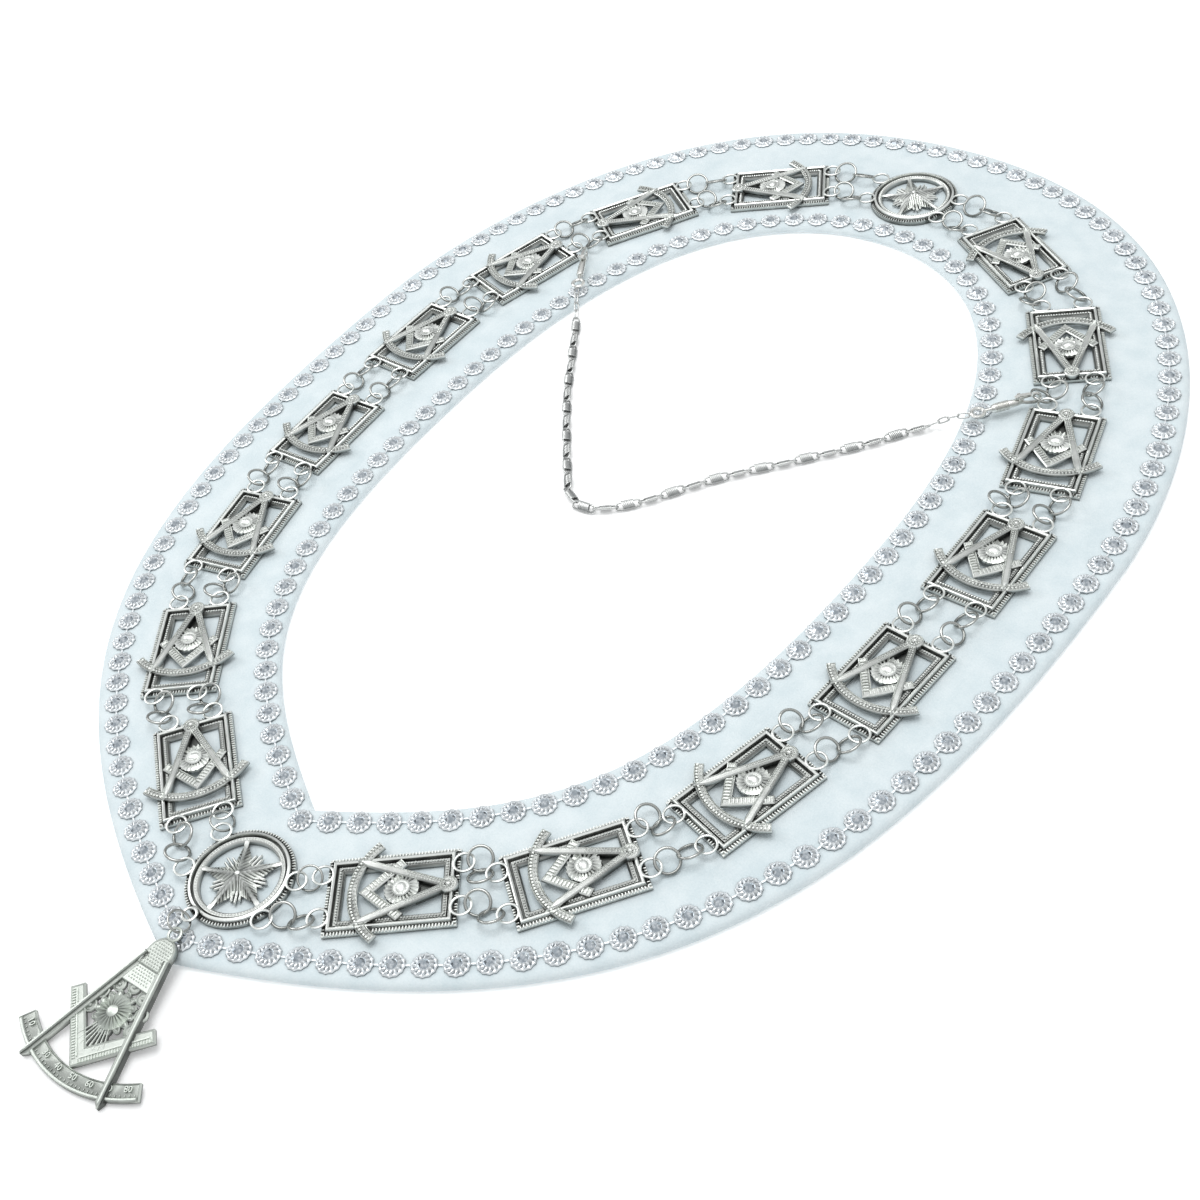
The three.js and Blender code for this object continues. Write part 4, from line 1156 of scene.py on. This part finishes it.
# Neck chain. It lies across the neck opening and keeps the collar on the shoulders: a few plain oval
# links at each clasp's eye, and between them long ones, each wound about its waist with fine wire.
CHAIN_ROUTE = [
    (-102.4, 116.0, 7.6), (-99.6, 111.8, 6.9), (-95.6, 106.2, 4.6), (-91.2, 99.8, 2.2), (-86.3, 92.4, 1.7),
    (-75.4, 76.5, 1.7), (-64.5, 60.4, 1.7), (-45.7, 36.8, 1.7), (-26.2, 14.0, 1.7), (-18.9, 8.6, 1.7),
    (-12.0, 6.6, 1.7), (-4.0, 10.2, 1.7), (7.3, 20.2, 1.7), (28.0, 47.6, 1.7), (51.2, 72.2, 1.7),
    (68.3, 90.8, 1.7), (80.3, 106.0, 1.7), (86.8, 112.9, 2.4), (92.2, 116.6, 5.0), (96.6, 118.9, 6.9),
    (101.2, 121.4, 7.6),
]
PLAIN_LINK = {"count": 4, "pitch": 4.2, "long": 5.6, "wide": 2.7, "wire": 0.36, "roll": 40}
WOUND_LINK = {"pitch": 9.4, "long": 11.2, "wide": 4.2, "wire": 0.42, "roll": 32}
WINDING = {"turns": 7, "step": 0.72, "wide": 1.95, "high": 0.8, "wire": 0.33, "slant": 10}
CURVE_SHARES = [i / 12 for i in range(12)]


def chain_line():
    """The route as a close run of points, through a smooth curve between the listed ones."""
    points = [Vector(point) for point in CHAIN_ROUTE]
    ends = [points[0] * 2 - points[1], *points, points[-1] * 2 - points[-2]]
    line = []
    for a, b, c, d in zip(ends, ends[1:], ends[2:], ends[3:]):
        for t in CURVE_SHARES:
            line.append((b * 2 + (c - a) * t + (a * 2 - b * 5 + c * 4 - d) * t ** 2
                         + (b * 3 - a - c * 3 + d) * t ** 3) / 2)
    line.append(points[-1])
    return line


def on_line(line, lengths, rest, roll):
    """The place of a link so far along the chain, rolled about the chain by degrees."""
    i = 0
    while rest > lengths[i]:
        rest -= lengths[i]
        i += 1
    way = (line[i + 1] - line[i]).normalized()
    along = way.to_track_quat("X", "Z").to_matrix().to_4x4()
    return (Matrix.Translation((line[i] + way * rest) * MM) @ along
            @ Matrix.Rotation(radians(roll), 4, "X"))


def oval_link(size):
    link = hoop(size["wide"] / 2 - size["wire"], size["wire"], 20, 7)
    half = size["wide"] / 2 - size["wire"]
    shift = (size["long"] - size["wide"]) / 2 * MM
    for vertex in link.data.vertices:
        vertex.co.x += shift * max(-1.0, min(1.0, vertex.co.x / (half * 0.5 * MM)))
    return link


def wound_link():
    """A long oval link with a close winding of finer wire about its waist."""
    turns = []
    for i in range(WINDING["turns"]):
        turn = hoop(1.0, WINDING["wire"], 16, 6)
        for vertex in turn.data.vertices:
            middle = vertex.co.xy.normalized() * MM
            vertex.co.x += middle.x * (WINDING["high"] - 1)
            vertex.co.y += middle.y * (WINDING["wide"] - 1)
        shift = (i - (WINDING["turns"] - 1) / 2) * WINDING["step"]
        turns.append(at_place(turn, moved(shift, turn=WINDING["slant"]) @ Matrix.Rotation(pi / 2, 4, "Y")))
    return join("wound_link", oval_link(WOUND_LINK), *turns)


# Painted shade: the chain's links are darker low down and lighter on top.
chain_wire = bright_metal(
    "chain_wire", dark=(0.2, 0.205, 0.205, 1), bright=(0.66, 0.67, 0.66, 1), shade_heights=(0.0, 3.2),
    grain=0.002, cast=0.04)
line = chain_line()
lengths = [(b - a).length for a, b in zip(line, line[1:])]
plain_run = PLAIN_LINK["count"] * PLAIN_LINK["pitch"]
wound_run = sum(lengths) - 2 * plain_run
wound_count = round(wound_run / WOUND_LINK["pitch"])
plain_places, wound_places = [], []
for i in range(PLAIN_LINK["count"]):
    for first in (0, plain_run + wound_run):
        plain_places.append(on_line(line, lengths, first + (i + 0.5) * PLAIN_LINK["pitch"],
                                    PLAIN_LINK["roll"] * (1 if i % 2 else -1)))
for i in range(wound_count):
    wound_places.append(on_line(line, lengths, plain_run + (i + 0.5) * wound_run / wound_count,
                                WOUND_LINK["roll"] * (1 if i % 2 else -1)))
neck_chain = join("neck_chain_links", repeated(oval_link(PLAIN_LINK), plain_places),
                  repeated(wound_link(), wound_places))
plated(neck_chain, chain_wire, RING["crease"])
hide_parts("neck_chain")
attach(neck_chain, "collar")


# Clasps. A cast snap hook at each end of the neck chain: a swivel eye, a tapered body, ribbed on the
# right one, and a bent hook for a ring of the collar, closed from inside by a small sprung lever.
CLASP_PLACES = {
    "right": {"eye": (104.0, 124.0), "toward": (123.0, 146.5), "z": 8.0, "ribs": 10},
    "left": {"eye": (-104.5, 119.5), "toward": (-121.0, 147.5), "z": 8.0, "ribs": 0},
}
CLASP = {"eye_radius": 2.6, "eye_wire": 0.8, "neck": 0.8, "neck_to": 5.6, "collar": 1.5, "body": 1.75,
         "body_from": 6.2, "body_to": 19.0, "rib_from": 7.0, "rib_to": 13.0, "rib": 0.3, "groove": 0.12,
         "taper": [(13.2, 1.7), (16.0, 1.5), (19.0, 1.1), (19.4, 0.6)],
         "hook_x": 24.0, "hook_radius": 2.3, "hook_wire": 0.7, "hook_points": 10, "tip_x": 23.0,
         "crease": 35}
CHEEK = {"x": 17.6, "long": 1.5, "wide": 0.6, "gap": 0.25, "lever": 1.6, "low": 0.3, "edge": 3.0,
         "border": [(0.12, 0.3)]}
PIN = {"radius": 0.4, "end": 0.3, "proud": 0.35, "bevel": 0.1, "sides": 12, "z": 2.5}


def turned(profile, sides=20):
    """A round body along +X through sections of a reach and a radius, drawn out end to end."""
    first = profile[0]
    bpy.ops.object.select_all(action="DESELECT")
    bpy.ops.mesh.primitive_circle_add(
        vertices=sides, radius=first[1] * MM, fill_type="NGON", location=(first[0] * MM, 0, 0),
        rotation=(0, pi / 2, 0))
    bpy.ops.object.transform_apply()
    piece = bpy.context.object

    def draw_out():
        bpy.ops.mesh.select_all(action="SELECT")
        before = first
        for reach, radius in profile[1:]:
            bpy.ops.mesh.extrude_region_move(
                TRANSFORM_OT_translate={"value": ((reach - before[0]) * MM, 0, 0)})
            scale = radius / before[1]
            bpy.ops.transform.resize(value=(1, scale, scale), center_override=(reach * MM, 0, 0))
            before = (reach, radius)

    in_edit(draw_out)
    return outward(piece)


def wire_along(points, radius):
    """A round wire through these points, with capped ends."""
    bpy.ops.object.select_all(action="DESELECT")
    bpy.ops.curve.primitive_nurbs_path_add()
    wire = bpy.context.object
    wire.data.splines.clear()
    spline = wire.data.splines.new("NURBS")
    spline.points.add(len(points) - 1)
    for point, place in zip(spline.points, points):
        point.co = (*(place * MM), 1)
    spline.use_endpoint_u = True
    spline.order_u = 3
    wire.data.dimensions = "3D"
    wire.data.bevel_depth = radius * MM
    wire.data.bevel_resolution = 4
    wire.data.resolution_u = 6
    wire.data.use_fill_caps = True
    bpy.ops.object.convert(target="MESH")
    return outward(bpy.context.object)


def clasp_profile(ribs):
    profile = [(CLASP["eye_radius"], CLASP["neck"]), (CLASP["neck_to"], CLASP["neck"]),
               (CLASP["neck_to"] + 0.1, CLASP["collar"]), (CLASP["body_from"], CLASP["body"])]
    for i in range(ribs):
        step = (CLASP["rib_to"] - CLASP["rib_from"]) / ribs
        at = CLASP["rib_from"] + i * step
        profile += [(at, CLASP["body"]), (at + step * 0.15, CLASP["body"] + CLASP["rib"]),
                    (at + step * 0.55, CLASP["body"] + CLASP["rib"]),
                    (at + step * 0.7, CLASP["body"] - CLASP["groove"])]
    return profile + CLASP["taper"]


def clasp_hook():
    points = [Vector((CLASP["body_to"] - 1.5, 0, -0.3)), Vector((CLASP["body_to"] + 1.5, 0, -1.4))]
    middle = Vector((CLASP["hook_x"], 0, 0))
    for i in range(CLASP["hook_points"]):
        a = -pi / 2 + pi * i / (CLASP["hook_points"] - 1)
        points.append(middle + CLASP["hook_radius"] * Vector((cos(a), 0, sin(a))))
    points.append(Vector((CLASP["tip_x"], 0, CLASP["hook_radius"])))
    return wire_along(points, CLASP["hook_wire"])


def clasp_cheeks():
    away = CHEEK["lever"] / 2 + CHEEK["gap"] + CHEEK["wide"] / 2
    cheek = plate(rectangle(CHEEK["long"], CHEEK["wide"]), CHEEK["low"], CHEEK["edge"], CHEEK["border"])
    cheeks = repeated(cheek, [moved(CHEEK["x"], away * side) for side in (1, -1)])
    half = away + PIN["proud"]
    pin = turned([(-half, PIN["end"]), (PIN["bevel"] - half, PIN["radius"]),
                  (half - PIN["bevel"], PIN["radius"]), (half, PIN["end"])], PIN["sides"])
    pin.data.transform(moved(CHEEK["x"], 0, PIN["z"], 90))
    return [cheeks, pin]


# Painted shade: the clasps and their levers are darker lower down and lighter higher up.
clasp_metal = bright_metal(
    "clasp_metal", dark=(0.42, 0.42, 0.4, 1), bright=(0.84, 0.84, 0.81, 1), shade_heights=(4.0, 9.5), rough=0.22,
    grain=0.0015, cast=0.06)
for side_name, place in CLASP_PLACES.items():
    eye = hoop(CLASP["eye_radius"], CLASP["eye_wire"], 24, 10)
    body = turned(clasp_profile(place["ribs"]))
    piece = join(f"{side_name}_clasp_cast", body, eye, clasp_hook(), *clasp_cheeks())
    run = Vector(place["toward"]) - Vector(place["eye"])
    piece.data.transform(moved(*place["eye"], place["z"], heading(run)))
    plated(piece, clasp_metal, CLASP["crease"])
    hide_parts(f"{side_name}_clasp_body")
    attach(piece, "collar")
    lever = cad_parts[f"{side_name}_clasp_lever"]
    lever.data.materials.clear()
    lever.data.materials.append(clasp_metal)


# Floor and light: a pale table top that glows a little, as under a light tent, a broad soft light
# overhead, a weaker one at the left, and a room that is darker low down than overhead.
TABLE = {"size": 8, "z": -0.0002}
bpy.ops.object.select_all(action="DESELECT")
bpy.ops.mesh.primitive_plane_add(size=TABLE["size"], location=(0, 0, TABLE["z"]))
floor = bpy.context.object
floor.name = "table_top"
table_finish = Finish("table_top", Roughness=0.9, Base_Color=(0.97, 0.97, 0.97, 1),
                      Emission_Color=(1, 1, 1, 1), Emission_Strength=0.24)
floor.data.materials.append(table_finish.material)

LIGHTS = [
    {"name": "overhead", "at": (-0.1, 0.1, 1.7), "size": 1.1, "power": 12.5},
    {"name": "left", "at": (-1.5, -0.3, 1.0), "size": 0.7, "power": 5},
]
for light in LIGHTS:
    bpy.ops.object.light_add(type="AREA", location=light["at"])
    lamp = bpy.context.object
    lamp.name = f"{light['name']}_light"
    lamp.data.size = light["size"]
    lamp.data.energy = light["power"]
    lamp.rotation_euler = (-Vector(light["at"])).to_track_quat("-Z", "Y").to_euler()
WALL = {"up_to": 0.08, "colour": (0.1, 0.105, 0.11, 1)}
CEILING = {"from": 0.55, "colour": (0.66, 0.675, 0.68, 1)}
world = bpy.data.worlds.new("studio")
bpy.context.scene.world = world
world.use_nodes = True
sky = world.node_tree
room = sky.nodes.new("ShaderNodeTexCoord")
upward = sky.nodes.new("ShaderNodeSeparateXYZ")
shade = sky.nodes.new("ShaderNodeValToRGB")
sky.links.new(room.outputs["Generated"], upward.inputs[0])
sky.links.new(upward.outputs["Z"], shade.inputs["Fac"])
sky.links.new(shade.outputs["Color"], sky.nodes["Background"].inputs["Color"])
wall, ceiling = shade.color_ramp.elements
wall.position, wall.color = WALL["up_to"], WALL["colour"]
ceiling.position, ceiling.color = CEILING["from"], CEILING["colour"]
bpy.context.scene.view_settings.view_transform = "Standard"
